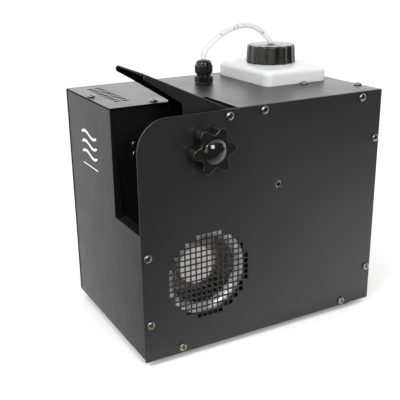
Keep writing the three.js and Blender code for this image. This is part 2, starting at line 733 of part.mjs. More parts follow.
// Bell-mouthed inlet ring.
function blowerInletRing() {
  const outerRadius = 47.2;
  const seat = HOUSING_RIGHT + GAP;
  const profile = [
    [outerRadius, seat],
    [outerRadius, HOUSING_RIGHT + 1.5],
    [outerRadius - 4, HOUSING_RIGHT + 2.9],
    [INLET_R + 4, HOUSING_RIGHT + 2.2],
    [INLET_R + 1, HOUSING_RIGHT - 1],
    [INLET_R, HOUSING_RIGHT - 5.5],
    [INLET_R + 1.4, HOUSING_RIGHT - 5.5],
    [INLET_R + 3.6, seat],
    [outerRadius, seat],
  ];
  return turned("x", FAN, profile, 36);
}

// Squirrel-cage wheel: back disc, hoop on the inlet side and curved blades.
function blowerWheel() {
  const count = 26;
  const section = [ // radius, angle in radians
    [37, 0], [41.3, 0.02], [45.6, 0.018], [45.6, 0.045], [37, 0.03],
  ];
  const blades = Array.from({ length: count }, (_, i) => {
    const start = (i / count) * 2 * Math.PI;
    const outline = section.map(([radius, angle]) => polar(FAN, radius, start + angle));
    return prism("x", outline, WHEEL_LEFT, WHEEL_RIGHT);
  });
  return add(
    ring("x", FAN, 6, 46, WHEEL_LEFT, WHEEL_LEFT + 1.5, 30),
    ring("x", FAN, 43.4, 46, WHEEL_RIGHT - 2, WHEEL_RIGHT, 30),
    ...blades,
  );
}

// Outer rotor of the motor, carrying the wheel.
function blowerRotor() {
  const left = WHEEL_LEFT + 1.8;
  const profile = [
    [4.3, left], [20.5, left], [21.3, WHEEL_LEFT + 3], [21.3, 66.6], [19.9, 68],
    [0, 68], [0, 64], [4.3, 64], [4.3, left],
  ];
  return turned("x", FAN, profile, 28);
}

// Motor flange outside the housing, boss and shaft.
function blowerMotor() {
  const profile = [
    [0, HOUSING_LEFT - 5.5], [22, HOUSING_LEFT - 5.5], [22, HOUSING_LEFT - GAP],
    [15.5, HOUSING_LEFT - GAP], [15.5, HOUSING_LEFT + 3], [4, HOUSING_LEFT + 3],
    [4, 62], [0, 62],
  ];
  return turned("x", FAN, profile, 20);
}

// -------------------------------------------------- heater, nozzle and bracket
const HEATER = { left: -74, right: 12, front: -134, rear: -86, bottom: 181, top: 231 };

function heaterBlock() {
  const { left, right, front, rear, bottom, top } = HEATER;
  return cut(
    add(
      prism("x", rounded([front, rear], [bottom, top], 4, 3), left, right),
      rod("x", NOZZLE, 6, right - 1, 22),
      rod("x", [-124, 220], 4, left - 6, left + 1, 14), // element ends
      rod("x", [-96, 220], 4, left - 6, left + 1, 14),
    ),
    rod("x", NOZZLE, 2.6, right - 12, 23, 14),
    rod("x", [NOZZLE[0], 190], 2.2, left - 1, left + 14, 12), // pressure line
  );
}

// Shelf under the heater, folded down at the front and up at the rear.
function heaterBracket() {
  const top = HEATER.bottom - GAP;
  const rear = HEATER.rear + 2;
  const outline = [
    [BEHIND_FRONT, top - 30], [BEHIND_FRONT + SHEET, top - 30],
    [BEHIND_FRONT + SHEET, top - SHEET], [rear + SHEET, top - SHEET],
    [rear + SHEET, top + 22], [rear, top + 22], [rear, top], [BEHIND_FRONT, top],
  ];
  return prism("x", outline, -62, 0);
}

// Flanged nozzle on the channel's far wall.
const outletNozzle = () =>
  cut(
    add(
      prism("x", rounded([-124, -104], [195.5, 216.5], 3, 2), LINER_X + GAP, LINER_X + 1.6),
      rod("x", NOZZLE, 6.2, 22.3, LINER_X + 3, 16),
    ),
    rod("x", NOZZLE, 2.4, 20, LINER_X + 4, 10),
    ...nozzleScrewHoles(LINER_X - 1, LINER_X + 4),
  );

// ----------------------------------------------------------------------- pump
// Vibration pump: coil box, plunger tube and the inlet nipple that the hose slips over.
function fluidPump() {
  const axis = [-52, 46]; // x, z
  const [x, z] = axis;
  return cut(
    add(
      box(span(x, 34), [-16, 16], span(z, 36)),
      rod("y", axis, 8, -36, 28),
      rod("y", axis, 3.6, 28, 33),
      rod("y", axis, 1.7, 33, 38, 10),
      ...legs(span(x, 28), 0, { inner: 9, top: 30, footDepth: 13, footTop: 4.4 }),
    ),
    rod("y", axis, 0.8, 34, 39, 6),
  );
}

// x, y, z: from the pump's front end to the heater.
const PRESSURE_PATH = [
  [-52, -36.4, 46], [-52, -46, 46], [-54, -62, 50], [-68, -84, 70], [-84, -104, 110],
  [-87, -110.6, 150], [-87, -110.6, 180], [-84, -110.6, 189], [-79, -110.6, 190],
  [-66, -110.6, 190],
];
const pressureLine = () => pipe(PRESSURE_PATH, { radius: 1.6, steps: 27, segments: 6 });

// ------------------------------------------------------- rear panel controls
function controlBoard() {
  const [x, z] = DISPLAY;
  return add(
    box([30, 84], [131.2, 132.8], [176, 230]),
    box(span(x, 39), [132.5, 142.4], span(z, 15)),
    ...BUTTONS.map(([buttonX, buttonZ]) =>
      box(span(buttonX, 6), [132.5, 136], span(buttonZ, 6))),
  );
}

const displayWindow = () =>
  box(span(DISPLAY[0], 44), [142.7, REAR_FACE - SHEET - GAP], span(DISPLAY[1], 21));

function button(centre) {
  const profile = [
    [0, 137.2], [2.2, 137.2], [2.2, 141.4], [4.8, 141.4], [4.8, 143.2],
    [3.5, 143.2], [3.5, REAR_FACE + 2], [0, REAR_FACE + 2.3],
  ];
  return turned("y", centre, profile, 12);
}

// Flange and barrel shared by the three-pole signal sockets.
const socketBlank = ([x, z], barrelEnd) =>
  add(
    prism("y", rounded(span(x, 26), span(z, 31), 3, 3), REAR_FACE + GAP, REAR_FACE + 2.3),
    rod("y", [x, z], 11.8, 124, barrelEnd),
  );
const socketPoles = (centre, radius, from, to) =>
  [-5, -1, 3].map((sixth) =>
    rod("y", polar(centre, 4.3, (sixth * Math.PI) / 6), radius, from, to, 8));
const socketScrewHoles = ([x, z]) =>
  [1, -1].map((side) =>
    rod("y", [x + 9.5 * side, z + 12 * side], 1.6, REAR_FACE - 1, REAR_FACE + 4, 8));

// Open barrel with three pins.
const signalInSocket = () =>
  add(
    cut(
      socketBlank(SIGNAL_IN, REAR_FACE + 1),
      rod("y", SIGNAL_IN, 9.4, REAR_FACE - 13, REAR_FACE + 4),
      ...socketScrewHoles(SIGNAL_IN),
    ),
    ...socketPoles(SIGNAL_IN, 1.2, REAR_FACE - 14, REAR_FACE + 0.5),
  );

// Solid barrel with three holes.
const signalOutSocket = () =>
  cut(
    socketBlank(SIGNAL_OUT, REAR_FACE + 3.1),
    ...socketPoles(SIGNAL_OUT, 1.7, REAR_FACE - 12, REAR_FACE + 5),
    ...socketScrewHoles(SIGNAL_OUT),
  );

function powerSwitchBody() {
  const [x, z] = SWITCH;
  const frame = rounded(span(x, 24.6), span(z, 21.2), 1.5, 3);
  return cut(
    add(
      prism("y", frame, REAR_FACE + GAP, REAR_FACE + 2.1),
      box(span(x, 20.4), [126, REAR_FACE + 1], span(z, 17)),
    ),
    box(span(x, 16.8), [133, REAR_FACE + 4], span(z, 15.2)),
  );
}

function powerSwitchRocker() {
  const axisY = REAR_FACE - 3.4;
  const tilt = degToRad(9);
  const outline = [ // y, z from the rocker axis, untilted
    ...arc([0, 0], 6.2, 90, 270, 8),
    [3.2, -6.3], [6.1, -5.6], [4.7, 0], [6.1, 5.6], [3.2, 6.3],
  ];
  const tilted = outline.map(([y, z]) => [
    axisY + y * Math.cos(tilt) - z * Math.sin(tilt),
    SWITCH[1] + y * Math.sin(tilt) + z * Math.cos(tilt),
  ]);
  return prism("x", tilted, ...span(SWITCH[0], 16));
}

// Power inlet with three pins and a bay for the fuse drawer.
function powerInlet() {
  const [x, z] = INLET;
  const flange = rounded(span(x, 34), span(z, 50), 2.5, 4);
  const plugBay = [ // x, z
    [44.4, 46.5], [67.6, 46.5], [67.6, 58.5], [63.6, 62.5], [48.4, 62.5], [44.4, 58.5],
  ];
  const pins = [[56, 58.2], [49, 52.2], [63, 52.2]]; // x, z
  const body = cut(
    add(
      prism("y", flange, REAR_FACE + GAP, REAR_FACE + 2.6),
      box(span(x, 27), [118, REAR_FACE + 1], span(z, 40)),
    ),
    prism("y", plugBay, REAR_FACE - 14, REAR_FACE + 4),
    box(span(FUSE[0], 22), [126, REAR_FACE + 4], span(FUSE[1], 8)),
  );
  return add(
    body,
    ...pins.map(([pinX, pinZ]) =>
      box(span(pinX, 2), [REAR_FACE - 15, REAR_FACE - 1], span(pinZ, 4.4))),
  );
}

function fuseDrawer() {
  const [x, z] = FUSE;
  return add(
    box(span(x, 21.2), [128, REAR_FACE + 2.9], span(z, 7.2)),
    box(span(x, 8), [REAR_FACE + 2, REAR_FACE + 4], span(z, 3)),
  );
}

// -------------------------------------------------------------- feet, screws
// Rubber foot with a stem that snaps through the bottom panel.
function foot(centre) {
  const barb = FLOOR_Z + SHEET + GAP;
  const tip = FLOOR_Z + SHEET + 5;
  const profile = [
    [0, -FOOT_HEIGHT], [8.6, -FOOT_HEIGHT], [9.6, -FOOT_HEIGHT + 1], [11, FLOOR_Z - GAP],
    [3, FLOOR_Z - GAP], [3, barb], [4.2, barb], [2, tip], [0, tip],
  ];
  return turned("z", centre, profile, 14);
}

// Cross-recessed pan-head screw pointing against the axis, its head seated at seat.
function screw(axis, [first, second], seat, length, { radius, headRadius, headHeight }) {
  const profile = [
    [0, seat - length], [radius, seat - length], [radius, seat], [headRadius, seat],
    [headRadius, seat + headHeight * 0.5], [headRadius * 0.7, seat + headHeight],
    [0, seat + headHeight],
  ];
  const arm = headRadius * 0.52;
  const half = headRadius * 0.13; // half the slot width
  const cross = [
    [-arm, -half], [-half, -half], [-half, -arm], [half, -arm], [half, -half], [arm, -half],
    [arm, half], [half, half], [half, arm], [-half, arm], [-half, half], [-arm, half],
  ];
  // Each screw stops at an angle of its own, set by its place.
  const turn = degToRad(20 + ((first * 7 + second * 13) % 50));
  const recess = cross.map(([across, up]) => [
    first + across * Math.cos(turn) - up * Math.sin(turn),
    second + across * Math.sin(turn) + up * Math.cos(turn),
  ]);
  return cut(
    turned(axis, [first, second], profile, 10),
    prism(axis, recess, seat + headHeight * 0.45, seat + headHeight + 1),
  );
}

// ------------------------------------------------------------------ assembly
const root = new THREE.Group();
root.name = "fog_machine";

// Adds a solid to the group as a flat-shaded mesh.
function place(name, part, finish) {
  const { vertProperties, triVerts } = part.getMesh();
  const indexed = new THREE.BufferGeometry();
  indexed.setAttribute("position", new THREE.BufferAttribute(vertProperties, 3));
  indexed.setIndex(new THREE.BufferAttribute(triVerts, 1));
  const geometry = indexed.toNonIndexed();
  geometry.computeVertexNormals();
  // Stands the case on its feet, with the origin under the middle of the overall box.
  geometry.translate(-MIDDLE.x, -MIDDLE.y, FOOT_HEIGHT);
  const mesh = new THREE.Mesh(geometry, new THREE.MeshStandardMaterial(finish));
  mesh.name = name;
  root.add(mesh);
}

place("chassis_wrap", chassisWrap(), FINISH.paint);
place("right_side_panel", rightSidePanel(), FINISH.paint);
place("left_side_panel", leftSidePanel(), FINISH.paint);
place("top_cover", topCover(), FINISH.coverPaint);
place("outlet_duct", outletDuct(), FINISH.ductPaint);
place("deflector_flap", deflectorFlap(), FINISH.paint);
place("clamp_stud", clampStud(), FINISH.zinc);
place("pivot_bolt", pivotBolt(), FINISH.zinc);

const knobWasher = ring("x", PIVOT, STUD_HOLE_R, 11, SIDE_X + GAP, SIDE_X + 1.8, 24);
place("knob_washer", knobWasher, FINISH.plastic);
place("star_knob", starKnob(), FINISH.knob);
place("knob_cap", knobCap(), FINISH.knobCap);

place("fluid_tank", fluidTank(), FINISH.bottle);
place("tank_cap", tankCap(), FINISH.bottleCap);
place("cap_seal", ring("z", CAP, 17, 24.8, SEAL_BOTTOM, SEAL_TOP, 24), FINISH.seal);
place("tank_tray", tankTray(), FINISH.zinc);
place("gland_body", glandBody(), FINISH.plastic);
place("gland_nut", glandNut(), FINISH.plastic);
place("gland_locknut", glandLocknut(), FINISH.plastic);
place("fluid_hose", fluidHose(), FINISH.hose);

place("blower_housing", blowerHousing(), FINISH.blowerHousing);
place("blower_inlet_ring", blowerInletRing(), FINISH.steel);
place("blower_wheel", blowerWheel(), FINISH.blowerWheel);
place("blower_rotor", blowerRotor(), FINISH.rotor);
place("blower_motor", blowerMotor(), FINISH.zinc);

place("heater_block", heaterBlock(), FINISH.heater);
place("heater_bracket", heaterBracket(), FINISH.zinc);
place("outlet_nozzle", outletNozzle(), FINISH.steel);
place("fluid_pump", fluidPump(), FINISH.pump);
place("pressure_line", pressureLine(), FINISH.copper);

place("control_board", controlBoard(), FINISH.board);
place("display_window", displayWindow(), FINISH.display);
["menu", "down", "up", "enter"].forEach((name, i) => {
  place("button_" + name, button(BUTTONS[i]), FINISH.rubber);
});
place("signal_in_socket", signalInSocket(), FINISH.socket);
place("signal_out_socket", signalOutSocket(), FINISH.socket);
place("power_switch_body", powerSwitchBody(), FINISH.switchBody);
place("power_switch_rocker", powerSwitchRocker(), FINISH.rocker);
place("power_inlet", powerInlet(), FINISH.inlet);
place("fuse_drawer", fuseDrawer(), FINISH.fuseDrawer);

for (const [name, centre] of Object.entries(FEET)) {
  place("foot_" + name, foot(centre), FINISH.rubber);
}
SIDE_SCREWS.forEach(([y, z, length], i) => {
  const part = screw("x", [y, z], SIDE_X + GAP, length, CASE_SCREW);
  place("side_screw_" + (i + 1), part, FINISH.steel);
});
TOP_SCREWS.forEach((centre, i) => {
  const part = screw("z", centre, BODY_HEIGHT + GAP, SCREW_LENGTH, CASE_SCREW);
  place("top_screw_" + (i + 1), part, FINISH.steel);
});
NOZZLE_SCREWS.forEach((centre, i) => {
  const part = screw("x", centre, LINER_X + 1.9, 6, NOZZLE_SCREW);
  place("nozzle_screw_" + (i + 1), part, FINISH.steel);
});

export default root;
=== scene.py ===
"""Fog machine: a black sheet metal case with a hinged flap and star knob, a fog fluid bottle with
its cap and hose, a blower behind the right grille and the controls on the rear.

Shapes are written in millimetres in the case's frame: +X to the right side, -Y to the front, +Z up,
case middle at x = y = 0, underside of the case at z = 0. `piece` sets them into the row frame, in
metres. A face with a second finish, mostly an eased edge, carries material 1; on the sheet panels
that is a lighter coat, a painted highlight. A face in shade carries material 2, a darker coat:
painted shade.
"""

import math

import bmesh
import bpy
from mathutils import Matrix, Vector
from mathutils.geometry import tessellate_polygon

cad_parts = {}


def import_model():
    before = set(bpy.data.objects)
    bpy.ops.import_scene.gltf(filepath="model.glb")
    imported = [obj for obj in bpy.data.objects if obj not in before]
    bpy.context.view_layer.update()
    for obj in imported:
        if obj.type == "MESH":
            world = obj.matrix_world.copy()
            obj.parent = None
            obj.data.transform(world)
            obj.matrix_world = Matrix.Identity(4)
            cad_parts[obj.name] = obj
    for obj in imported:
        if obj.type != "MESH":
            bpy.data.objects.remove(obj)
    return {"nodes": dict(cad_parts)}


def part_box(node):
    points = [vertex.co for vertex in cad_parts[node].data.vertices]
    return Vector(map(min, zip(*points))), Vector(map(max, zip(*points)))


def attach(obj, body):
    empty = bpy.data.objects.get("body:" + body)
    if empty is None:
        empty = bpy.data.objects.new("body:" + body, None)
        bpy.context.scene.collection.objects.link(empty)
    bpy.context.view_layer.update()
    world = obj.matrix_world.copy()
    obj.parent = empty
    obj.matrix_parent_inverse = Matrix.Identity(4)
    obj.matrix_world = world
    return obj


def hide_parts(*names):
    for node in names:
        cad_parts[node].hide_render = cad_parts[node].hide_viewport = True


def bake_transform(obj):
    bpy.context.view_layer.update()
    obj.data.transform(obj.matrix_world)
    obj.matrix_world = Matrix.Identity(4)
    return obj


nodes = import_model()["nodes"]
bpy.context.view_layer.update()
PI = math.pi

# ------------------------------------------------------------------------------ case dimensions
RIGHT, LEFT = 95.4, -95.4  # outer faces of the side panels
PANEL_FRONT, PANEL_BACK = -145.9, 145.9  # ends of the side panels
PANEL_BOTTOM = -1.2
SHEET, GAP = 1.5, 0.3  # sheet thickness, and the gap left between parts
INNER = RIGHT - SHEET - GAP  # sides of the chassis and cover, inside the panels
FRONT, BACK, BOTTOM, TOP = -145.3, 145.4, 0.6, 250.0  # outer faces of the chassis and cover
CHANNEL_X, CHANNEL_Z = 32.0, 137.0  # inner side and floor of the open channel under the flap
CHANNEL_WALL = CHANNEL_X - SHEET - GAP
BRACKET_Y, BRACKET_Z = 13.6, 163.4  # bracket hole in each side panel

FAN_Y, FAN_Z = -70.25, 80.1  # axis of the blower and middle of the grille
GRILLE_PITCH, GRILLE_HOLE = 6.25, 5.1
GRILLE_ROWS = [7, 7, 7, 6, 6, 5, 4, 2]  # holes each side of the middle, by rows from the middle

PIVOT_Y, PIVOT_Z = -71.7, 214.6  # axis of the flap and knob
FLAP_TILT = math.radians(24.97)

# Side screws: y, z, length
SIDE_SCREWS = [
    (-47.1, 243.2, 3.7), (-6.8, 244.6, 9), (118.2, 243.8, 9), (140.0, 196.6, 9), (139.9, 40.7, 9),
    (105.2, 4.9, 9), (-103.5, 5.7, 9), (-138.9, 40.7, 9), (-139.3, 113.4, 9),
]
TOP_SCREWS = [(-33.2, -139.6), (22.9, -93.0), (25.2, 94.0), (62.9, 139.8)]  # x, y
NOZZLE_SCREWS = [(-120.6, 211.4), (-120.2, 200.9)]  # y, z
FEET = [("rear_right", 78, 121), ("rear_left", -78, 121), ("front_right", 58, -118),
        ("front_left", -58, -118)]  # name, x, y
FOOT_BOTTOM = -8

TANK_X, TANK_Y, TANK_Z = (-89.5, 19.5), (47.0, 131.5), (98.0, 267.2)
TANK_CORNER = 9.0
CAP_X, CAP_Y, CAP_Z, CAP_HEIGHT = -38.65, 91.05, 267.6, 20.2
GLAND_X, GLAND_Y = -40.7, 0.55

# The CAD panel shows where the case's frame lies in the row frame.
panel_lo, panel_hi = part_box("right_side_panel")
OFFSET = Vector((panel_hi.x * 1000 - RIGHT, panel_hi.y * 1000 - PANEL_BACK,
                 panel_lo.z * 1000 - PANEL_BOTTOM))
TO_ROW = Matrix.Scale(0.001, 4) @ Matrix.Translation(OFFSET)


def row(x, y, z):
    """A point of the case's frame, in metres in the row frame."""
    return TO_ROW @ Vector((x, y, z))


# ------------------------------------------------------------------------------------ materials
def feed(node, inputs):
    """Gives each input a value, or links it to the output socket given for it."""
    for key, value in inputs.items():
        socket = node.inputs[key]
        if isinstance(value, bpy.types.NodeSocket):
            node.id_data.links.new(value, socket)
        else:
            socket.default_value = value


def add_node(tree, kind, inputs=None, **settings):
    node = tree.nodes.new("ShaderNode" + kind)
    for key, value in settings.items():
        setattr(node, key, value)
    feed(node, inputs or {})
    return node


FINISH = {}


def material(name, color, rough=0.5, metal=0.0, spec=0.5, drift=(0.12, 40), wear=(0.06, 120),
             bump=None, speck=None, coat=(0.0, 0.1), stretch=(1, 1, 1), sss=0.0,
             sss_radius=(0.004, 0.004, 0.004)):
    """A procedural finish, kept in FINISH under its name.

    drift: share by which the colour varies, noise scale
    wear: amount by which the roughness varies, noise scale
    bump: strength, noise scale, height in metres
    speck: strength, noise scale, colour
    coat: weight, roughness
    """
    made = bpy.data.materials.new(name)
    made.use_nodes = True
    tree = made.node_tree
    place = add_node(tree, "TexCoord").outputs["Object"]
    place = add_node(tree, "Mapping", {"Scale": stretch, "Vector": place}).outputs["Vector"]

    def noise(scale, detail=3.0):
        return add_node(tree, "TexNoise", {"Scale": scale, "Detail": detail, "Roughness": 0.55,
                                           "Vector": place}).outputs["Fac"]

    def varied(scale, low, high):
        return add_node(tree, "MapRange", {"From Min": 0.3, "From Max": 0.7, "To Min": low,
                                           "To Max": high, "Value": noise(scale)}).outputs["Result"]

    share, drift_scale = drift
    base = add_node(tree, "Mix", {
        "A": [c * (1 - share) for c in color] + [1],
        "B": [min(1.0, c * (1 + share)) for c in color] + [1],
        "Factor": varied(drift_scale, 0, 1),
    }, data_type="RGBA").outputs["Result"]
    if speck:
        strength, scale, speck_color = speck
        spots = add_node(tree, "MapRange", {"From Min": 0.66, "From Max": 0.74, "To Max": strength,
                                            "Value": noise(scale, detail=1.0)})
        base = add_node(tree, "Mix", {"B": [*speck_color, 1], "Factor": spots.outputs["Result"],
                                      "A": base}, data_type="RGBA").outputs["Result"]
    amount, wear_scale = wear
    shader = tree.nodes["Principled BSDF"]
    feed(shader, {
        "Base Color": base,
        "Roughness": varied(wear_scale, max(0.0, rough - amount), min(1.0, rough + amount)),
        "Metallic": metal,
        "Specular IOR Level": spec,
        "IOR": 1.5,
        "Coat Weight": coat[0],
        "Coat Roughness": coat[1],
        "Subsurface Weight": sss,
        "Subsurface Radius": sss_radius,
        "Subsurface Scale": 1.0,
    })
    if bump:
        strength, scale, height = bump
        relief = add_node(tree, "Bump", {"Strength": strength, "Distance": height,
                                         "Height": noise(scale, detail=2.0)})
        feed(shader, {"Normal": relief.outputs["Normal"]})
    FINISH[name] = made
    return made


def clear_wall(name, face_on, edge_on_painted_shade, thin, thick):
    """Clear thin wall: nearly see-through face on; closed and grey where it turns away, the grey a
    painted shade for the wall's rim.
    """
    tree = material(name, face_on, rough=0.12, drift=(0.02, 300), wear=(0.04, 120)).node_tree
    shader = tree.nodes["Principled BSDF"]
    facing = add_node(tree, "LayerWeight", {"Blend": 0.5}).outputs["Facing"]
    edge = add_node(tree, "MapRange", {"From Min": 0.34, "From Max": 0.86, "Value": facing},
                    interpolation_type="SMOOTHSTEP").outputs["Result"]
    face_color = shader.inputs["Base Color"].links[0].from_socket
    tone = add_node(tree, "Mix", {"B": [*edge_on_painted_shade, 1], "A": face_color, "Factor": edge},
                    data_type="RGBA")
    feed(shader, {"Base Color": tone.outputs["Result"]})
    opacity = add_node(tree, "MapRange", {"To Min": thin, "To Max": thick, "Value": edge})
    clear = add_node(tree, "BsdfTransparent")
    mix = add_node(tree, "MixShader", {"Fac": opacity.outputs["Result"],
                                       1: clear.outputs["BSDF"], 2: shader.outputs["BSDF"]})
    output = next(n for n in tree.nodes if n.type == "OUTPUT_MATERIAL")
    feed(output, {"Surface": mix.outputs["Shader"]})


COAT_BUMP = (0.25, 1500, 6e-5)
COAT_SPECK = (0.10, 1700, (0.03, 0.03, 0.03))
SOFT_BUMP = (0.2, 1200, 1e-4)

# Coated sheet
material("powder_coat", (0.0070, 0.0071, 0.0072), rough=0.38, drift=(0.12, 14), wear=(0.03, 30),
         bump=COAT_BUMP, speck=COAT_SPECK)
material("flap_coat", (0.0055, 0.0056, 0.0056), rough=0.42, spec=0.32, drift=(0.12, 14),
         wear=(0.03, 30), bump=COAT_BUMP)
# Lighter, glossier coat for the eased edges of the sheet: a painted highlight along the edges.
material("coat_edge_painted_highlight", (0.015, 0.015, 0.0145), rough=0.32, spec=0.45, drift=(0.30, 90),
         bump=(0.2, 900, 5e-5))
material("cover_coat", (0.0080, 0.0081, 0.0082), rough=0.38, drift=(0.12, 12), wear=(0.03, 24),
         bump=(0.22, 1500, 5e-5), speck=COAT_SPECK)
# Dark, dull coat for the channel liner, the nozzle flange and faces in the channel: painted shade.
material("channel_painted_shade", (0.0018, 0.0020, 0.0020), rough=0.62, spec=0.14, drift=(0.15, 25),
         wear=(0.05, 120), bump=(0.3, 1300, 6e-5))
material("shaded_coat", (0.0016, 0.0016, 0.0016), rough=0.7, spec=0.08, drift=(0.15, 40),
         bump=SOFT_BUMP)
# Screws, steel and small fittings
# Darker finish inside the screws' cross recess: partly painted shade, partly oxide in the hollow.
material("screw_recess", (0.006, 0.005, 0.004), spec=0.15, drift=(0.3, 400), bump=SOFT_BUMP)
# Glossier than knob_plastic, and lighter in colour: a painted highlight on the knob's rim and lobe
# ends.
material("knob_rim_gloss_painted_highlight", (0.010, 0.010, 0.0098), rough=0.20, spec=0.7, drift=(0.12, 200),
         bump=(0.05, 1200, 1e-4))
material("nickel_steel", (0.27, 0.235, 0.185), rough=0.27, metal=1.0, drift=(0.12, 260),
         wear=(0.08, 700), bump=(0.12, 2500, 3e-5))
material("zinc_steel", (0.56, 0.57, 0.56), rough=0.38, metal=1.0, drift=(0.16, 120),
         wear=(0.10, 260), bump=(0.15, 900, 4e-5))
material("bright_steel", (0.80, 0.84, 0.85), rough=0.34, metal=0.8, drift=(0.05, 90),
         wear=(0.06, 180), bump=(0.06, 600, 5e-5))
# Rubber and plastics
material("foot_rubber", (0.007, 0.007, 0.007), rough=0.78, spec=0.18, drift=(0.2, 110),
         bump=(0.5, 1600, 1e-4))
material("black_nylon", (0.009, 0.0093, 0.0095), rough=0.36, drift=(0.15, 130), wear=(0.07, 320),
         bump=(0.2, 1500, 5e-5))
material("knob_plastic", (0.0040, 0.0042, 0.0036), rough=0.52, spec=0.13, drift=(0.18, 150),
         wear=(0.07, 340), bump=(0.35, 1500, 6e-5))
material("knob_cap_gloss", (0.006, 0.0062, 0.0065), rough=0.07, drift=(0.1, 90),
         wear=(0.02, 120), coat=(0.15, 0.03), bump=(0.02, 300, 1e-4))
material("gland_nylon", (0.0040, 0.0041, 0.0040), rough=0.17, spec=0.36, drift=(0.12, 160),
         wear=(0.03, 300), bump=(0.04, 1400, 4e-5))
material("cap_plastic", (0.0052, 0.0054, 0.0047), rough=0.30, spec=0.45, drift=(0.18, 120),
         wear=(0.06, 420), bump=(0.2, 1700, 6e-5))
material("bottle_hdpe", (0.535, 0.542, 0.545), rough=0.42, spec=0.35, drift=(0.015, 22),
         wear=(0.06, 60), bump=(0.10, 500, 8e-5), sss=0.55, sss_radius=(0.010, 0.0105, 0.0115))
clear_wall("hose_clear", face_on=(0.62, 0.625, 0.62), edge_on_painted_shade=(0.30, 0.30, 0.295), thin=0.13,
           thick=0.90)
clear_wall("fog_fluid", face_on=(0.60, 0.605, 0.60), edge_on_painted_shade=(0.46, 0.46, 0.45), thin=0.16,
           thick=0.55)
# Grey for the meniscus faces at the ends of each fluid slug: painted shade.
material("fluid_meniscus_painted_shade", (0.30, 0.30, 0.29), rough=0.2, spec=0.6, drift=(0.1, 40))
material("seal_rubber", (0.03, 0.03, 0.03), rough=0.7, drift=(0.15, 40), bump=(0.3, 1200, 1e-4))
# Inner parts
# Near-black finish for the blower housing.
material("blower_housing_dark", (0.012, 0.012, 0.0115), rough=0.48, drift=(0.25, 70),
         wear=(0.1, 120), bump=(0.15, 700, 6e-5))
material("wheel_galvanised", (0.58, 0.56, 0.47), rough=0.36, metal=0.7, drift=(0.28, 120),
         wear=(0.12, 300), bump=(0.15, 900, 5e-5))
material("rotor_light", (0.57, 0.555, 0.54), rough=0.40, drift=(0.03, 60), wear=(0.05, 120),
         bump=(0.05, 600, 4e-5))
material("motor_steel", (0.30, 0.30, 0.30), rough=0.4, metal=0.9, drift=(0.15, 40))
material("heater_aluminium", (0.58, 0.58, 0.57), rough=0.42, metal=1.0, drift=(0.15, 80),
         bump=(0.2, 800, 8e-5), stretch=(1, 1, 6))
material("copper_pipe", (0.72, 0.38, 0.21), rough=0.28, metal=1.0, drift=(0.2, 90),
         wear=(0.1, 120))
material("pump_plastic", (0.03, 0.032, 0.036), drift=(0.15, 40), bump=(0.25, 1200, 1e-4))
# Rear panel, print and floor
material("board_green", (0.02, 0.09, 0.035), rough=0.38, drift=(0.2, 200), coat=(0.4, 0.1),
         bump=SOFT_BUMP)
material("window_red", (0.055, 0.006, 0.006), rough=0.10, spec=0.6, drift=(0.1, 40),
         wear=(0.02, 120), coat=(0.5, 0.04), bump=(0.02, 200, 1e-4))
material("contact_nickel", (0.70, 0.68, 0.62), rough=0.25, metal=1.0, drift=(0.1, 300))
material("white_print", (0.74, 0.75, 0.75), drift=(0.04, 200), bump=(0.1, 1500, 3e-5))
material("rivet_nut_zinc", (0.50, 0.50, 0.47), rough=0.34, metal=1.0, drift=(0.12, 200))
material("floor_paper", (0.86, 0.86, 0.855), rough=0.85, spec=0.1, drift=(0.01, 2),
         wear=(0.02, 120), bump=(0.02, 300, 1e-4))


# ------------------------------------------------------------------------------------- outlines
# Outlines are drawn in x, y and pushed along z; each axis turns that into the case's frame.
AXES = {
    "x": lambda x, y, z: (z, x, y),
    "y": lambda x, y, z: (x, z, y),
    "z": lambda x, y, z: (x, y, z),
}


def polar(x, y, radius_at, count):
    """Closed outline about (x, y) whose radius is a function of the angle."""
    angles = [2 * PI * i / count for i in range(count)]
    return [(x + radius_at(a) * math.cos(a), y + radius_at(a) * math.sin(a)) for a in angles]


def circle(x, y, radius, count):
    return polar(x, y, lambda angle: radius, count)


def rounded(x0, x1, y0, y1, radius, count=8):
    """Rounded rectangle; radius may list the corners, counter-clockwise from (x0, y0)."""
    radii = radius if isinstance(radius, list) else [radius] * 4
    corners = ((x0, y0, 1, 1), (x1, y0, -1, 1), (x1, y1, -1, -1), (x0, y1, 1, -1))
    points = []
    for k, ((x, y, in_x, in_y), r) in enumerate(zip(corners, radii)):
        for i in range(count + 1):
            angle = math.radians((180 + 90 * k) % 360 + 90 * i / count)
            points.append((x + in_x * r + r * math.cos(angle), y + in_y * r + r * math.sin(angle)))
    return points


def soft(corners, count=4):
    """The polyline of (x, y, radius) with each corner rounded to its radius."""
    out = []
    for i, (x, y, radius) in enumerate(corners):
        here = Vector((x, y))
        if radius <= 0:
            out.append(tuple(here))
            continue
        back = Vector(corners[i - 1][:2]) - here
        ahead = Vector(corners[(i + 1) % len(corners)][:2]) - here
        back_length, ahead_length = back.length, ahead.length
        back /= back_length
        ahead /= ahead_length
        half = math.acos(max(-1, min(1, back.dot(ahead)))) / 2
        reach = min(radius / math.tan(half), back_length * 0.49, ahead_length * 0.49)
        radius = reach * math.tan(half)
        middle = here + (back + ahead).normalized() * (radius / math.sin(half))
        start, end = here + back * reach, here + ahead * reach
        angle = math.atan2(start.y - middle.y, start.x - middle.x)
        last = math.atan2(end.y - middle.y, end.x - middle.x)
        turn = (last - angle + PI) % (2 * PI) - PI
        for j in range(count + 1):
            t = angle + turn * j / count
            out.append((middle.x + radius * math.cos(t), middle.y + radius * math.sin(t)))
    return out


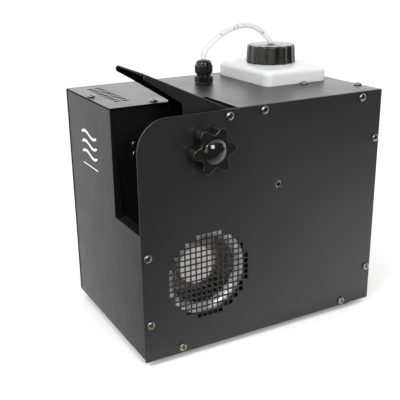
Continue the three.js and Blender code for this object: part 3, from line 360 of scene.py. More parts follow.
def offset_loop(loop, distance):
    """The loop moved to the left of its travel, with mitred corners."""
    out = []
    for i, point in enumerate(loop):
        here = Vector(point)
        before = here - Vector(loop[i - 1])
        after = Vector(loop[(i + 1) % len(loop)]) - here
        normal = Vector((-before.y, before.x)).normalized()
        mitre = normal + Vector((-after.y, after.x)).normalized()
        mitre.normalize()
        k = max(0.35, mitre.dot(normal))
        out.append((here.x + mitre.x * distance / k, here.y + mitre.y * distance / k))
    return out


def area(loop):
    return 0.5 * sum(loop[i - 1][0] * loop[i][1] - loop[i][0] * loop[i - 1][1]
                     for i in range(len(loop)))


# -------------------------------------------------------------------------------- mesh builders
def bridge(mesh, first, second):
    """Joins two rings of equal count by quads, and returns the quads."""
    count = len(first)
    return [mesh.faces.new((first[i], first[(i + 1) % count], second[(i + 1) % count], second[i]))
            for i in range(count)]


def close_up(mesh):
    bmesh.ops.recalc_face_normals(mesh, faces=mesh.faces)
    return mesh


def plate(axis, outline, start, end, holes=(), bevel=0.25, steps=2):
    """A sheet with eased edges; a hole is an outline, or an outline with its own bevel."""
    to_case = AXES[axis]
    mesh = bmesh.new()
    loops = [(outline if area(outline) > 0 else outline[::-1], bevel)]
    for hole in holes:
        loop, hole_bevel = hole if isinstance(hole, tuple) else (hole, bevel)
        loops.append((loop if area(loop) < 0 else loop[::-1], hole_bevel))
    caps = [[], []]
    for loop, width in loops:
        levels = [(start, 0.0), (end, 0.0)]
        if width > 0:
            quarter = [j / steps * PI / 2 for j in range(steps + 1)]
            low = [(start + width * (1 - math.cos(a)), width * (1 - math.sin(a))) for a in quarter]
            levels = low + [(end - (h - start), inset) for h, inset in reversed(low)]
        rings = []
        for h, inset in levels:
            points = offset_loop(loop, inset) if inset > 1e-9 else loop
            rings.append([mesh.verts.new(to_case(x, y, h)) for x, y in points])
        for k in range(len(rings) - 1):
            for face in bridge(mesh, rings[k], rings[k + 1]):
                if width > 0 and k != steps:
                    face.material_index = 1
        caps[0].append(rings[0])
        caps[1].append(rings[-1])
    for rings in caps:
        flat = [v for ring in rings for v in ring]
        for triangle in tessellate_polygon([[v.co for v in ring] for ring in rings]):
            corners = [flat[i] for i in triangle]
            if len(set(corners)) == 3:
                # The tessellation may give the same triangle twice.
                try:
                    mesh.faces.new(corners)
                except ValueError:
                    pass
    return close_up(mesh)


def prism(axis, outline, start, end):
    return plate(axis, outline, start, end, bevel=0.0)


def block(x0, x1, y0, y1, z0, z1):
    return prism("z", [(x0, y0), (x1, y0), (x1, y1), (x0, y1)], z0, z1)


def lathe(axis, x, y, profile, count=64):
    """Turned piece from (radius, distance along the axis), end to end or as a closed ring."""
    to_case = AXES[axis]
    mesh = bmesh.new()
    closed = all(abs(a - b) < 1e-9 for a, b in zip(profile[0], profile[-1]))
    rings = []
    for radius, h in profile[:-1] if closed else profile:
        if radius < 1e-6:
            rings.append([mesh.verts.new(to_case(x, y, h))])
        else:
            rings.append([mesh.verts.new(to_case(*p, h)) for p in circle(x, y, radius, count)])
    pairs = list(zip(rings, rings[1:]))
    if closed:
        pairs.append((rings[-1], rings[0]))
    for p, q in pairs:
        for i in range(count):
            j = (i + 1) % count
            corners = [p[i % len(p)], p[j % len(p)], q[j % len(q)], q[i % len(q)]]
            corners = list(dict.fromkeys(corners))
            if len(corners) >= 3:
                mesh.faces.new(corners)
    return close_up(mesh)


def rod(axis, x, y, radius, start, end, count=64):
    return lathe(axis, x, y, [(0, start), (radius, start), (radius, end), (0, end)], count)


def thread(start, end, pitch, crest, root, steps):
    """Profile of a thread; steps are the crest, root and crest within a pitch.

    Also returns where the next turn would begin.
    """
    profile = []
    while start < end:
        profile += [(r, start + step) for r, step in zip((crest, root, crest), steps)]
        start += pitch
    return profile, start


def loft(rings):
    """Closed skin over rings of equal count, each a list of points in the case's frame."""
    mesh = bmesh.new()
    skin = [[mesh.verts.new(p) for p in ring] for ring in rings]
    for p, q in zip(skin, skin[1:]):
        bridge(mesh, p, q)
    for ring in (skin[0], skin[-1]):
        middle = mesh.verts.new(sum((v.co for v in ring), Vector()) / len(ring))
        for i in range(len(ring)):
            mesh.faces.new((ring[i], ring[(i + 1) % len(ring)], middle))
    return close_up(mesh)


def at_height(outline, z):
    return [(x, y, z) for x, y in outline]


def merge(*parts):
    """All the parts in one mesh, without joining their skins."""
    out = bmesh.new()
    for part in parts:
        data = bpy.data.meshes.new("part")
        part.to_mesh(data)
        out.from_mesh(data)
        bpy.data.meshes.remove(data)
        part.free()
    return out


def boolean(first, second, operation):
    objects = []
    for mesh in (first, second):
        data = bpy.data.meshes.new("boolean")
        mesh.to_mesh(data)
        mesh.free()
        obj = bpy.data.objects.new("boolean", data)
        bpy.context.scene.collection.objects.link(obj)
        objects.append(obj)
    modifier = objects[0].modifiers.new("boolean", "BOOLEAN")
    modifier.operation = operation
    modifier.solver = "EXACT"
    modifier.object = objects[1]
    bpy.context.view_layer.update()
    depsgraph = bpy.context.evaluated_depsgraph_get()
    result = bpy.data.meshes.new_from_object(objects[0].evaluated_get(depsgraph))
    out = bmesh.new()
    out.from_mesh(result)
    bpy.data.meshes.remove(result)
    for obj in objects:
        data = obj.data
        bpy.data.objects.remove(obj)
        bpy.data.meshes.remove(data)
    bmesh.ops.remove_doubles(out, verts=out.verts, dist=1e-4)
    return out


def cut(mesh, *tools):
    for tool in tools:
        mesh = boolean(mesh, tool, "DIFFERENCE")
    return mesh


def join(mesh, *parts):
    for part in parts:
        mesh = boolean(mesh, part, "UNION")
    return mesh


def ease(mesh, width, steps=2, pick=None, mark=True):
    """Rounds the sharp edges, or those of them that pick chooses; mark gives material 1."""
    edges = [e for e in mesh.edges if len(e.link_faces) == 2
             and e.calc_face_angle(0) > math.radians(28) and (pick is None or pick(e))]
    if edges:
        bmesh.ops.bevel(mesh, geom=edges, offset=width, offset_type="OFFSET", segments=steps,
                        profile=0.5, affect="EDGES", clamp_overlap=True,
                        material=1 if mark else -1)
    return mesh


def assign(mesh, is_second=None):
    """Material 1 where is_second(face middle) holds, material 0 elsewhere."""
    for face in mesh.faces:
        face.material_index = int(bool(is_second and is_second(face.calc_center_median())))
    return mesh


def cad(node):
    """The node's shape as a welded mesh in the case's frame."""
    mesh = bmesh.new()
    mesh.from_mesh(nodes[node].data)
    mesh.transform(TO_ROW.inverted())
    assign(mesh)
    bmesh.ops.remove_doubles(mesh, verts=mesh.verts, dist=2e-4)
    bmesh.ops.dissolve_limit(mesh, angle_limit=math.radians(0.6), verts=mesh.verts,
                             edges=mesh.edges)
    return mesh


def piece(name, mesh, finish, body, replaces=None, edge=None, shade=None, sharp=32,
          weighted=False):
    """Sets a mesh into the row frame, finishes its shading and hands it to a body.

    edge and shade are the finishes of materials 1 and 2; sharp is the crease angle in degrees.
    """
    bmesh.ops.remove_doubles(mesh, verts=mesh.verts, dist=1e-4)
    bmesh.ops.dissolve_degenerate(mesh, edges=mesh.edges, dist=1e-5)
    ngons = [f for f in mesh.faces if len(f.verts) > 4]
    if ngons:
        bmesh.ops.triangulate(mesh, faces=ngons)
    close_up(mesh)
    mesh.transform(TO_ROW)
    for e in mesh.edges:
        e.smooth = not (len(e.link_faces) == 2 and e.calc_face_angle(0) > math.radians(sharp))
    data = bpy.data.meshes.new(name)
    mesh.to_mesh(data)
    mesh.free()
    for polygon in data.polygons:
        polygon.use_smooth = True
    data.materials.append(FINISH[finish])
    data.materials.append(FINISH[edge or finish])
    if shade:
        data.materials.append(FINISH[shade])
    obj = bpy.data.objects.new(name, data)
    bpy.context.scene.collection.objects.link(obj)
    if weighted:
        modifier = obj.modifiers.new("normals", "WEIGHTED_NORMAL")
        modifier.keep_sharp = True
        modifier.weight = 100
    if body:
        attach(obj, body)
    if replaces:
        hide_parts(replaces)
    return obj


def cad_piece(name, node, finish, width, steps=2, mark=False, body="case"):
    """The CAD shape with its edges eased."""
    piece(name, ease(cad(node), width, steps, mark=mark), finish, body, node, weighted=True)


# ---------------------------------------------------------------------------------------- paths
SPINE_STEPS = 8
# Knots between which each level of the Catmull-Rom pyramid blends its neighbours.
SPANS = (((0, 1), (1, 2), (2, 3)), ((0, 2), (1, 3)), ((1, 2),))


def spine(points):
    """Smooth path (centripetal Catmull-Rom) as sections turned with the least twist.

    Each section is its middle and two directions across the path.
    """
    points = [Vector(p) for p in points]
    points = [points[0] * 2 - points[1]] + points + [points[-1] * 2 - points[-2]]
    path = []
    for i in range(len(points) - 3):
        four = points[i:i + 4]
        knots = [0.0]
        for p, q in zip(four, four[1:]):
            knots.append(knots[-1] + (q - p).length ** 0.5)
        for k in range(SPINE_STEPS):
            t = knots[1] + (knots[2] - knots[1]) * k / SPINE_STEPS
            level = four
            for spans in SPANS:
                blended = []
                for j, (start, end) in enumerate(spans):
                    low, high = knots[start], knots[end]
                    blended.append(level[j] * ((high - t) / (high - low))
                                   + level[j + 1] * ((t - low) / (high - low)))
                level = blended
            path.append(level[0])
    path.append(points[-2])
    last = len(path) - 1
    tangents = [(path[min(i + 1, last)] - path[max(i - 1, 0)]).normalized()
                for i in range(last + 1)]
    side = tangents[0].orthogonal().normalized()
    sections = []
    for middle, tangent in zip(path, tangents):
        side = (side - tangent * side.dot(tangent)).normalized()
        sections.append((middle, side.copy(), tangent.cross(side).normalized()))
    return sections


def sweep(sections, radius, count=24, bore=0.0):
    """Round bar, or pipe with a bore radius, along a spine's sections."""
    mesh = bmesh.new()
    shells = []
    for r in (radius, bore) if bore else (radius,):
        shells.append([[mesh.verts.new(middle + a * (r * math.cos(2 * PI * j / count))
                                       + b * (r * math.sin(2 * PI * j / count)))
                        for j in range(count)] for middle, a, b in sections])
    for shell in shells:
        for p, q in zip(shell, shell[1:]):
            bridge(mesh, p, q)
    for end in (0, -1):
        if bore:
            bridge(mesh, shells[0][end], shells[1][end])
        else:
            mesh.faces.new(shells[0][end])
    return close_up(mesh)


# ---------------------------------------------------------------------------------- side panels
BRACKET_HOLE = (circle(BRACKET_Y, BRACKET_Z, 4.3, 40), 0.3)


def grille_holes():
    half = GRILLE_HOLE / 2
    holes = []
    for r in range(-7, 8):
        for c in range(-GRILLE_ROWS[abs(r)], GRILLE_ROWS[abs(r)] + 1):
            y, z = FAN_Y + c * GRILLE_PITCH, FAN_Z + r * GRILLE_PITCH
            holes.append((rounded(y - half, y + half, z - half, z + half, 0.3, 2), 0.12))
    return holes


holes = [(circle(y, z, 2.3, 20), 0.15) for y, z, _ in SIDE_SCREWS] + grille_holes()
holes += [(circle(PIVOT_Y, PIVOT_Z, 3.3, 32), 0.2), BRACKET_HOLE]
outline = rounded(PANEL_FRONT, PANEL_BACK, PANEL_BOTTOM, TOP, [1.4, 1, 1, 32], 24)
piece("right_panel", plate("x", outline, RIGHT - SHEET, RIGHT, holes, bevel=0.38, steps=3),
      "powder_coat", "case", "right_side_panel", edge="coat_edge_painted_highlight",
      weighted=True)

# Two banks of nine level louvre slots.
holes = [(rounded(y0, y1, 60 + i * 8, 63 + i * 8, 1.2, 4), 0.2)
         for y0, y1 in ((-118, -62), (-40, 16)) for i in range(9)] + [BRACKET_HOLE]
outline = rounded(PANEL_FRONT, PANEL_BACK, PANEL_BOTTOM, TOP, [5, 1, 1, 1.4], 8)
piece("left_panel", plate("x", outline, LEFT, LEFT + SHEET, holes, bevel=0.16), "powder_coat",
      "case", "left_side_panel", edge="coat_edge_painted_highlight", weighted=True)

# ------------------------------------------------------------------------------------ top cover
VENT_X0, VENT_PITCH, VENT_COUNT = -75, 8.6, 10
VENT_ROWS = (-124.8, -115.5)  # y


def cover_mesh():
    """Pressed sheet with bent side flanges."""
    mesh = cad("top_cover")
    # The vent slots are a little wider and longer than the plain CAD ones.
    for v in mesh.verts:
        for i in range(VENT_COUNT):
            for row_y in VENT_ROWS:
                off_x, off_y = v.co.x - (VENT_X0 + i * VENT_PITCH), v.co.y - row_y
                if abs(off_x) < 1.35 and abs(off_y) < 2.85:
                    v.co.x += off_x * 0.5
                    v.co.y += off_y * 0.28

    def side_bend(e):
        return e.calc_length() > 100 and all(
            v.co.z > TOP - 0.01 and abs(v.co.x) > INNER - 0.01 for v in e.verts)

    ease(mesh, 0.9, 3, pick=side_bend)
    ease(mesh, 0.18)
    # Cut edges and the walls of the slots lie in shade.
    for face in mesh.faces:
        at = face.calc_center_median()
        near_slot = -78 < at.x < 5 and -128.8 < at.y < -111.5 and at.z < TOP - 0.005
        cut_edge = TOP - SHEET + 0.01 < at.z < TOP - 0.10 and abs(face.normal.z) < 0.5
        face.material_index = 2 if cut_edge or near_slot else 0
    return mesh


piece("top_sheet", cover_mesh(), "cover_coat", "case", "top_cover",
      shade="shaded_coat", weighted=True)


# --------------------------------------------------------------- chassis, channel, flap, mounts
def chassis_mesh():
    """Front, bottom and rear bent from one sheet."""
    def floor_bend(e):
        return e.calc_length() > 20 and all(
            abs(v.co.z - BOTTOM) < 0.01
            and (abs(v.co.y - FRONT) < 0.01 or abs(v.co.y - BACK) < 0.01) for v in e.verts)

    mesh = cad("chassis_wrap")
    ease(mesh, 0.8, 3, pick=floor_bend, mark=False)
    ease(mesh, 0.22)
    # The channel's upright return flange stands in the channel's shade.
    for face in mesh.faces:
        at = face.calc_center_median()
        if (CHANNEL_X - 2.2 < at.x < CHANNEL_X + 0.3 and at.z > CHANNEL_Z - 1
                and at.y > FRONT + 0.25 and face.normal.x > 0.5):
            face.material_index = 2
    return mesh


piece("chassis_sheet", chassis_mesh(), "powder_coat", "case", "chassis_wrap",
      edge="coat_edge_painted_highlight", shade="channel_painted_shade", weighted=True)
# The whole liner takes the channel's painted shade.
cad_piece("channel_liner", "outlet_duct", "channel_painted_shade", 0.22, mark=True)


def flap_mesh():
    """Tilted plate with two cheeks bent down from it."""
    sin_tilt, cos_tilt = math.sin(FLAP_TILT), math.cos(FLAP_TILT)

    def cheek_bend(e):
        run = e.verts[1].co - e.verts[0].co
        return (abs(run.x) < 0.01 and run.length > 40
                and abs(abs(run.z / run.length) - sin_tilt) < 0.02
                and all(v.co.x < 33.81 or v.co.x > 91.49 for v in e.verts)
                and min((v.co.y - PIVOT_Y) * sin_tilt + (v.co.z - PIVOT_Z) * cos_tilt
                        for v in e.verts) > 42.8)

    mesh = cad("deflector_flap")
    ease(mesh, 0.85, 4, pick=cheek_bend, mark=False)
    ease(mesh, 0.28)
    # The flap's far cheek and front edge face the channel's shade.
    for face in mesh.faces:
        at = face.calc_center_median()
        ahead = abs(face.normal.y * cos_tilt - face.normal.z * sin_tilt) > 0.8 and at.x < 90.2
        if at.x < 36.0 or ahead:
            face.material_index = 2
        elif face.material_index == 1 and at.z > PIVOT_Z + 8 and at.y > PIVOT_Y - 60:
            face.material_index = 0
    return mesh


piece("flap_sheet", flap_mesh(), "flap_coat", "flap", "deflector_flap",
      edge="coat_edge_painted_highlight", shade="channel_painted_shade", weighted=True)
cad_piece("bottle_tray", "tank_tray", "zinc_steel", 0.2, mark=True)
cad_piece("heater_mount", "heater_bracket", "zinc_steel", 0.2, mark=True)


# --------------------------------------------------------------------------------------- screws
def cross_cutter(size, height):
    """Tapered cross with its floor at 0 and its mouth above height."""
    rings = []
    # height, share of the arm length, share of the arm width
    for z, reach, width in ((0.0, 0.30, 0.55), (0.25, 0.52, 0.72), (height + 1.0, 1.0, 1.0)):
        a, b = size * reach, size * 0.19 * width
        rings.append(at_height([(a, -b), (a, b), (b, b), (b, a), (-b, a), (-b, b), (-a, b),
                                (-a, -b), (-b, -b), (-b, -a), (b, -a), (b, -b)], z))
    return loft(rings)


def screw_mesh(head_r, head_h, shank_r, length, pitch=0.7):
    """Pan head screw with a cross recess, along +Z with its head seated at 0."""
    rim_h, crown_h, power, steps = head_h * 0.34, head_h * 0.66, 0.86, 14
    profile = [(0, -length), (shank_r * 0.7, -length), (shank_r, -length + 0.6)]
    turns, z = thread(-length + 0.6, -1.2, pitch, shank_r, shank_r * 0.84,
                      (pitch * 0.15, pitch * 0.5, pitch * 0.85))
    profile += turns
    profile += [(shank_r, min(-0.3, z + 0.2)), (shank_r, 0.0), (head_r - 0.25, 0.0),
                (head_r, 0.25), (head_r, rim_h)]
    for i in range(1, steps + 1):
        a = i / steps * PI / 2
        profile.append((head_r * math.cos(a) ** power if i < steps else 0.0,
                        rim_h + crown_h * math.sin(a)))
    cross = cross_cutter(head_r * 0.62, crown_h)
    cross.transform(Matrix.Translation((0, 0, head_h * 0.26)))

    # Faces in the cross recess take the darker recess finish, partly painted shade.
    def in_recess(at):
        r = math.hypot(at.x, at.y)
        if r >= head_r * 0.70 or at.z <= 0.1:
            return False
        a = math.acos(min(1.0, (r / head_r) ** (1 / power)))
        return at.z < rim_h + crown_h * math.sin(a) - 0.09

    return assign(cut(lathe("z", 0, 0, profile, 48), cross), in_recess)


ALONG_X = Matrix(((0, 0, 1), (1, 0, 0), (0, 1, 0))).to_4x4()


def set_screw(family, number, mesh, axis, x, y, seat, turn):
    """A copy of a screw with its head seated at a distance along an axis."""
    basis = ALONG_X if axis == "x" else Matrix.Identity(4)
    out = mesh.copy()
    out.transform(Matrix.Translation(AXES[axis](x, y, seat)) @ basis
                  @ Matrix.Rotation(turn, 4, "Z"))
    piece(f"{family}_screw_head_{number}", out, "nickel_steel", "case",
          f"{family}_screw_{number}", sharp=38, edge="screw_recess")


long_screw = screw_mesh(head_r=4.3, head_h=2.5, shank_r=2.0, length=9.0)
short_screw = screw_mesh(head_r=4.3, head_h=2.5, shank_r=2.0, length=3.7)
small_screw = screw_mesh(head_r=2.9, head_h=1.4, shank_r=1.5, length=6.0, pitch=0.5)
SIDE_TURNS = [0.45, 1.2, 0.1, 0.85, 0.6, 1.4, 0.25, 0.95, 0.7]  # how far each head is turned
for i, (y, z, length) in enumerate(SIDE_SCREWS):
    set_screw("side", i + 1, short_screw if length < 5 else long_screw, "x", y, z, RIGHT + GAP,
              SIDE_TURNS[i])
for i, (x, y) in enumerate(TOP_SCREWS):
    set_screw("top", i + 1, long_screw, "z", x, y, TOP + GAP, 0.35 + 0.5 * i)
for i, (y, z) in enumerate(NOZZLE_SCREWS):
    set_screw("nozzle", i + 1, small_screw, "x", y, z, CHANNEL_WALL + 1.9, 0.3 + 0.8 * i)

# Rivet nuts behind the two bracket holes: (radius, depth behind the panel).
RIVET_NUT = [(2.6, 0), (6.4, 0), (6.4, 0.9), (4.6, 1.3), (4.6, 9), (2.6, 9), (2.6, 0)]
for side, sign in (("right", 1), ("left", -1)):
    profile = [(r, (INNER - depth) * sign) for r, depth in RIVET_NUT]
    piece(f"bracket_nut_{side}", lathe("x", BRACKET_Y, BRACKET_Z, profile, 40), "rivet_nut_zinc",
          "case")

# ------------------------------------------------------------------------------- knob and pivot
KNOB_BACK, KNOB_FACE = 97.5, 111.0
DOME_R, DOME_RISE = 12.45, 4.8


def lobe_radius(angle):
    """Six lobes with flattened tops."""
    wave = math.cos(6 * (angle - math.radians(4)))
    if wave > 0:
        return 19.9 + 3.7 * min(wave / 0.93, 1.0) ** 0.7
    return 19.9 - 3.7 * (-wave) ** 0.85


def knob_mesh():
    star = plate("x", polar(PIVOT_Y, PIVOT_Z, lobe_radius, 216), KNOB_BACK, KNOB_FACE, bevel=0.6,
                 steps=4)
    seat = rod("x", PIVOT_Y, PIVOT_Z, 12.8, KNOB_FACE - 1.4, KNOB_FACE + 1, 96)
    bore = rod("x", PIVOT_Y, PIVOT_Z, 3.3, KNOB_BACK - 1, 108.6, 32)
    # Hollow back between the hub and the rim.
    hollow = lathe("x", PIVOT_Y, PIVOT_Z, [
        (8.6, KNOB_BACK - 1), (13.2, KNOB_BACK - 1), (12.8, KNOB_BACK + 7.5),
        (9.0, KNOB_BACK + 7.5), (8.6, KNOB_BACK - 1)], 72)

    def gloss_and_painted_highlight(at):
        """The rounded rim and the lobes' ends, glossier and lighter in colour, a painted highlight;
        the waists between the lobes are duller.
        """
        r = math.hypot(at.y - PIVOT_Y, at.z - PIVOT_Z)
        if at.x <= KNOB_FACE - 0.59:
            return r > 20.6
        return at.x < KNOB_FACE - 0.01 and r > 13.2

    return assign(cut(star, seat, bore, hollow), gloss_and_painted_highlight)


def dome_mesh():
    sphere_r = (DOME_R ** 2 + DOME_RISE ** 2) / (2 * DOME_RISE)
    profile = [(0, KNOB_FACE - 1.1), (DOME_R - 0.15, KNOB_FACE - 1.1), (DOME_R, KNOB_FACE - 0.9),
               (DOME_R, KNOB_FACE + 0.5)]
    for i in range(25):
        a = math.asin((DOME_R - 0.1) / sphere_r) * (1 - i / 24)
        profile.append((sphere_r * math.sin(a), KNOB_FACE + 5.5 - sphere_r * (1 - math.cos(a))))
    return lathe("x", PIVOT_Y, PIVOT_Z, profile, 96)


piece("star_knob_body", knob_mesh(), "knob_plastic", "knob", "star_knob",
      sharp=30, weighted=True, edge="knob_rim_gloss_painted_highlight")
piece("knob_dome", dome_mesh(), "knob_cap_gloss", "knob", "knob_cap", sharp=50)
profile = soft([(3.3, RIGHT + 0.3, 0), (11, RIGHT + 0.3, 0.3), (11, RIGHT + 1.8, 0.3),
                (3.3, RIGHT + 1.8, 0)])
piece("knob_washer_ring", lathe("x", PIVOT_Y, PIVOT_Z, profile + [profile[0]], 72),
      "black_nylon", "clamp_washer", "knob_washer")

profile = [(0, 85.6), (4.6, 85.6), (5.9, 86.3), (6.5, 87.6), (6.5, 89.7), (3, 89.7), (3, 95.6)]
profile += thread(95.6, 105.4, 1.0, 3.0, 3.0 * 0.88, (0.2, 0.55, 0.9))[0]
profile += [(3.0, 106.4), (2.4, 107.0), (0, 107.0)]
piece("clamp_bolt", lathe("x", PIVOT_Y, PIVOT_Z, profile, 48), "zinc_steel",
      "flap", "clamp_stud")
profile = [(0, 21), (2.4, 21), (3, 21.6), (3, 35.6), (6, 35.6), (6, 38.2), (5.6, 38.9),
           (4.6, 39.4), (1.9, 39.4), (1.9, 37.6), (0, 37.6)]
piece("far_pivot_bolt", lathe("x", PIVOT_Y, PIVOT_Z, profile, 48), "zinc_steel",
      "case", "pivot_bolt")


# --------------------------------------------------------------------------------------- bottle
def tank_shell(inset, top_r, bottom_r, crown, edge_steps, corner_steps):
    """Rounded tank set in from the outside; crown is how far the top bulges."""
    z0, z1 = TANK_Z[0] + inset, TANK_Z[1] - inset
    shoulder = z1 - crown
    corner = max(TANK_CORNER - inset, 1.0)
    rings = []

    def add_ring(step_in, z):
        out = inset + step_in
        rings.append(at_height(rounded(TANK_X[0] + out, TANK_X[1] - out, TANK_Y[0] + out,
                                       TANK_Y[1] - out, max(corner - step_in * 0.75, 2.2),
                                       corner_steps), z))

    quarter = [i / edge_steps * PI / 2 for i in range(edge_steps + 1)]
    for a in quarter:
        add_ring(bottom_r * (1 - math.sin(a)), z0 + bottom_r * (1 - math.cos(a)))
    for k in range(1, 12):
        add_ring(0, z0 + bottom_r + (z1 - top_r - crown - z0 - bottom_r) * k / 12)
    for a in quarter:
        add_ring(top_r * (1 - math.cos(a)), shoulder - top_r * (1 - math.sin(a)))
    for k in range(1, 9):
        f = k / 8
        add_ring(top_r + (31.0 - top_r) * f, shoulder + crown * math.sin(f * PI / 2))
    return loft(rings)


def bottle_mesh():
    neck = soft([(0, 255, 0), (25.2, 255, 0), (25.2, 282.6, 0.5), (0, 282.6, 0)])
    outer = join(tank_shell(inset=0, top_r=6.2, bottom_r=6.0, crown=0.45, edge_steps=10,
                            corner_steps=14), lathe("z", CAP_X, CAP_Y, neck, 96))
    inner = join(tank_shell(inset=2.0, top_r=4.8, bottom_r=4.5, crown=0.4, edge_steps=6,
                            corner_steps=8), rod("z", CAP_X, CAP_Y, 22.2, 250, 290, 96))
    return cut(outer, inner)


def neck_thread_mesh():
    """One raised helical rib, two and a half turns, fading at both ends."""
    radius, steps = 25.12, 90
    sections = []
    for i in range(steps + 1):
        a = i / steps * 2.5 * 2 * PI
        z = 270.6 + 8.6 * i / steps
        crest = radius + 0.42 * min(1.0, i / 8, (steps - i) / 8)
        root = radius - 0.15
        sections.append([(CAP_X + r * math.cos(a), CAP_Y + r * math.sin(a), z + rise)
                         for r, rise in ((root, -0.75), (crest, -0.28), (crest, 0.28),
                                         (root, 0.75))])
    return loft(sections)


# ------------------------------------------------------------------------------------------ cap
FLUTES = 14
CAP_COUNT = FLUTES * 24
CAP_EDGE = 1.8  # radius of the cap's upper edge


def cap_radius(angle, height):
    """Outer radius of the skirt: broad shallow flutes between narrow lands."""
    f = height / CAP_HEIGHT
    s = ((angle / (2 * PI) * FLUTES) % 1.0 - 0.5) / 0.40
    depth = 1.45 * (1 - min(1.0, abs(s)) ** 2.2) if abs(s) < 1 else 0.0
    fade = min(1.0, max(0.0, (1.0 - f) / 0.10)) ** 0.5
    return 29.15 - 1.45 * f - depth * fade


def cap_mesh():
    rings = []

    def add_ring(radius_at, height):
        rings.append(at_height(polar(CAP_X, CAP_Y, radius_at, CAP_COUNT), CAP_Z + height))

    # Skirt: height, inset
    skirt = [(0.0, 0.5), (0.35, 0.12), (0.8, 0.0)]
    skirt += [(0.8 + (CAP_HEIGHT - 2.6) * k / 14, 0.0) for k in range(1, 15)]
    for height, inset in skirt:
        add_ring(lambda a: cap_radius(a, height) - inset, height)
    shoulder = CAP_HEIGHT - CAP_EDGE
    for k in range(1, 8):
        t = k / 7 * PI / 2
        add_ring(lambda a: cap_radius(a, shoulder) - CAP_EDGE * (1 - math.cos(t)),
                 shoulder + CAP_EDGE * math.sin(t))
    # Top face up to the small lip around the hose: radius, rise
    for radius, rise in ((25.6, 0), (5.6, 0), (5.3, 0.1), (5.0, 0.45)):
        add_ring(lambda a: radius, CAP_HEIGHT + rise)
    inside = lathe("z", CAP_X, CAP_Y, [
        (0, CAP_Z - 1), (26.0, CAP_Z - 1), (25.7, CAP_Z + 0.6), (25.7, 284.3), (25.4, 284.6),
        (0, 284.6)], 128)
    cap_top = CAP_Z + CAP_HEIGHT
    hose_hole = lathe("z", CAP_X, CAP_Y, [
        (0, CAP_Z), (3.7, CAP_Z), (3.7, cap_top + 0.1), (4.1, cap_top + 0.9),
        (0, cap_top + 0.9)], 48)
    return cut(loft(rings), inside, hose_hole)


piece("bottle_shell", bottle_mesh(), "bottle_hdpe", "bottle", "fluid_tank",
      sharp=40)
piece("cap_shell", cap_mesh(), "cap_plastic", "cap", "tank_cap", sharp=36)
profile = soft([(17, 282.9, 0.3), (24.8, 282.9, 0.3), (24.8, 284.3, 0.3), (17, 284.3, 0.3)])
piece("cap_gasket", lathe("z", CAP_X, CAP_Y, profile + [profile[0]], 72), "seal_rubber",
      "cap_ring", "cap_seal")
piece("neck_thread", neck_thread_mesh(), "bottle_hdpe", "bottle", sharp=60)

# ---------------------------------------------------------------------------------- cable gland
SEAT = TOP + GAP
NUT_RIBS = 48


def hex_loop(across_flats, steps, corner_r):
    r = across_flats / math.sqrt(3)
    return soft([(x, y, corner_r) for x, y in circle(GLAND_X, GLAND_Y, r, 6)], steps)


def gland_mesh():
    washer = lathe("z", GLAND_X, GLAND_Y, soft([
        (0, SEAT, 0), (10.4, SEAT, 0.3), (10.4, SEAT + 1.2, 0.5), (0, SEAT + 1.2, 0)]), 96)
    hexagon = plate("z", hex_loop(18.4, 8, 0.6), SEAT + 1.0, SEAT + 8, bevel=0.35, steps=3)
    # The corners of the hexagon are turned down to a chamfer.
    chamfer = lathe("z", GLAND_X, GLAND_Y, [
        (0, SEAT + 0.5), (10.8, SEAT + 0.5), (10.8, SEAT + 6.9), (9.5, SEAT + 8.2),
        (0, SEAT + 8.2)], 96)
    hexagon = boolean(hexagon, chamfer, "INTERSECT")
    shank = [(0, 238.5), (6.9, 238.5)] + thread(239.0, 248.0, 1.5, 7.4, 6.7, (0.35, 0.9, 1.3))[0]
    shank += [(7.4, SEAT + 0.5), (0, SEAT + 0.5)]
    upper = [(0, SEAT + 7), (8.5, SEAT + 7), (8.5, SEAT + 11.1), (8.3, SEAT + 11.3),
             (7.2, SEAT + 11.3)]
    upper += thread(SEAT + 11.4, SEAT + 14, 1.4, 7.2, 6.6, (0.3, 0.8, 1.2))[0]
    upper += [(7.2, SEAT + 14.6), (6.8, SEAT + 15), (0, SEAT + 15)]
    solid = join(washer, hexagon, lathe("z", GLAND_X, GLAND_Y, shank),
                 lathe("z", GLAND_X, GLAND_Y, upper))
    return assign(cut(solid, rod("z", GLAND_X, GLAND_Y, 3.5, 230, 290, 48)))


def dome_nut_mesh():
    """Soft hexagon with fine vertical ribs on its flats, closed by a dome."""
    rings = []

    def add_ring(base, z, ribs, hexness):
        def radius_at(a):
            six = 1 - hexness * (1 - math.cos(6 * a)) * 0.5
            q = (a * 6 / (2 * PI)) % 1.0
            flat = max(0.0, 1 - abs(q - 0.5) / 0.36)
            return base * six - ribs * flat ** 0.3 * (0.5 - 0.5 * math.cos(NUT_RIBS * a))

        rings.append(at_height(polar(GLAND_X, GLAND_Y, radius_at, NUT_RIBS * 8), z))

    add_ring(9.85, 262.0, ribs=0.30, hexness=0.03)
    add_ring(10.15, 262.45, ribs=0.34, hexness=0.03)
    for k in range(1, 6):
        add_ring(10.2, 262.45 + 8.1 * k / 5, ribs=0.34, hexness=0.03)
    add_ring(10.0, 270.95, ribs=0.30, hexness=0.03)
    add_ring(9.55, 271.2, ribs=0.12, hexness=0.02)
    add_ring(9.25, 271.25, ribs=0.0, hexness=0.0)
    for k in range(1, 15):
        a = k / 14 * PI / 2
        add_ring(4.6 + 4.6 * math.cos(a) ** 0.9 if k < 14 else 4.7, 271.3 + 5.5 * math.sin(a),
                 ribs=0.0, hexness=0.0)
    return cut(loft(rings), lathe("z", GLAND_X, GLAND_Y, [
        (0, 261), (7.7, 261), (7.7, 266), (3.5, 270), (3.5, 275.8), (3.9, 277.4), (0, 277.4)]))


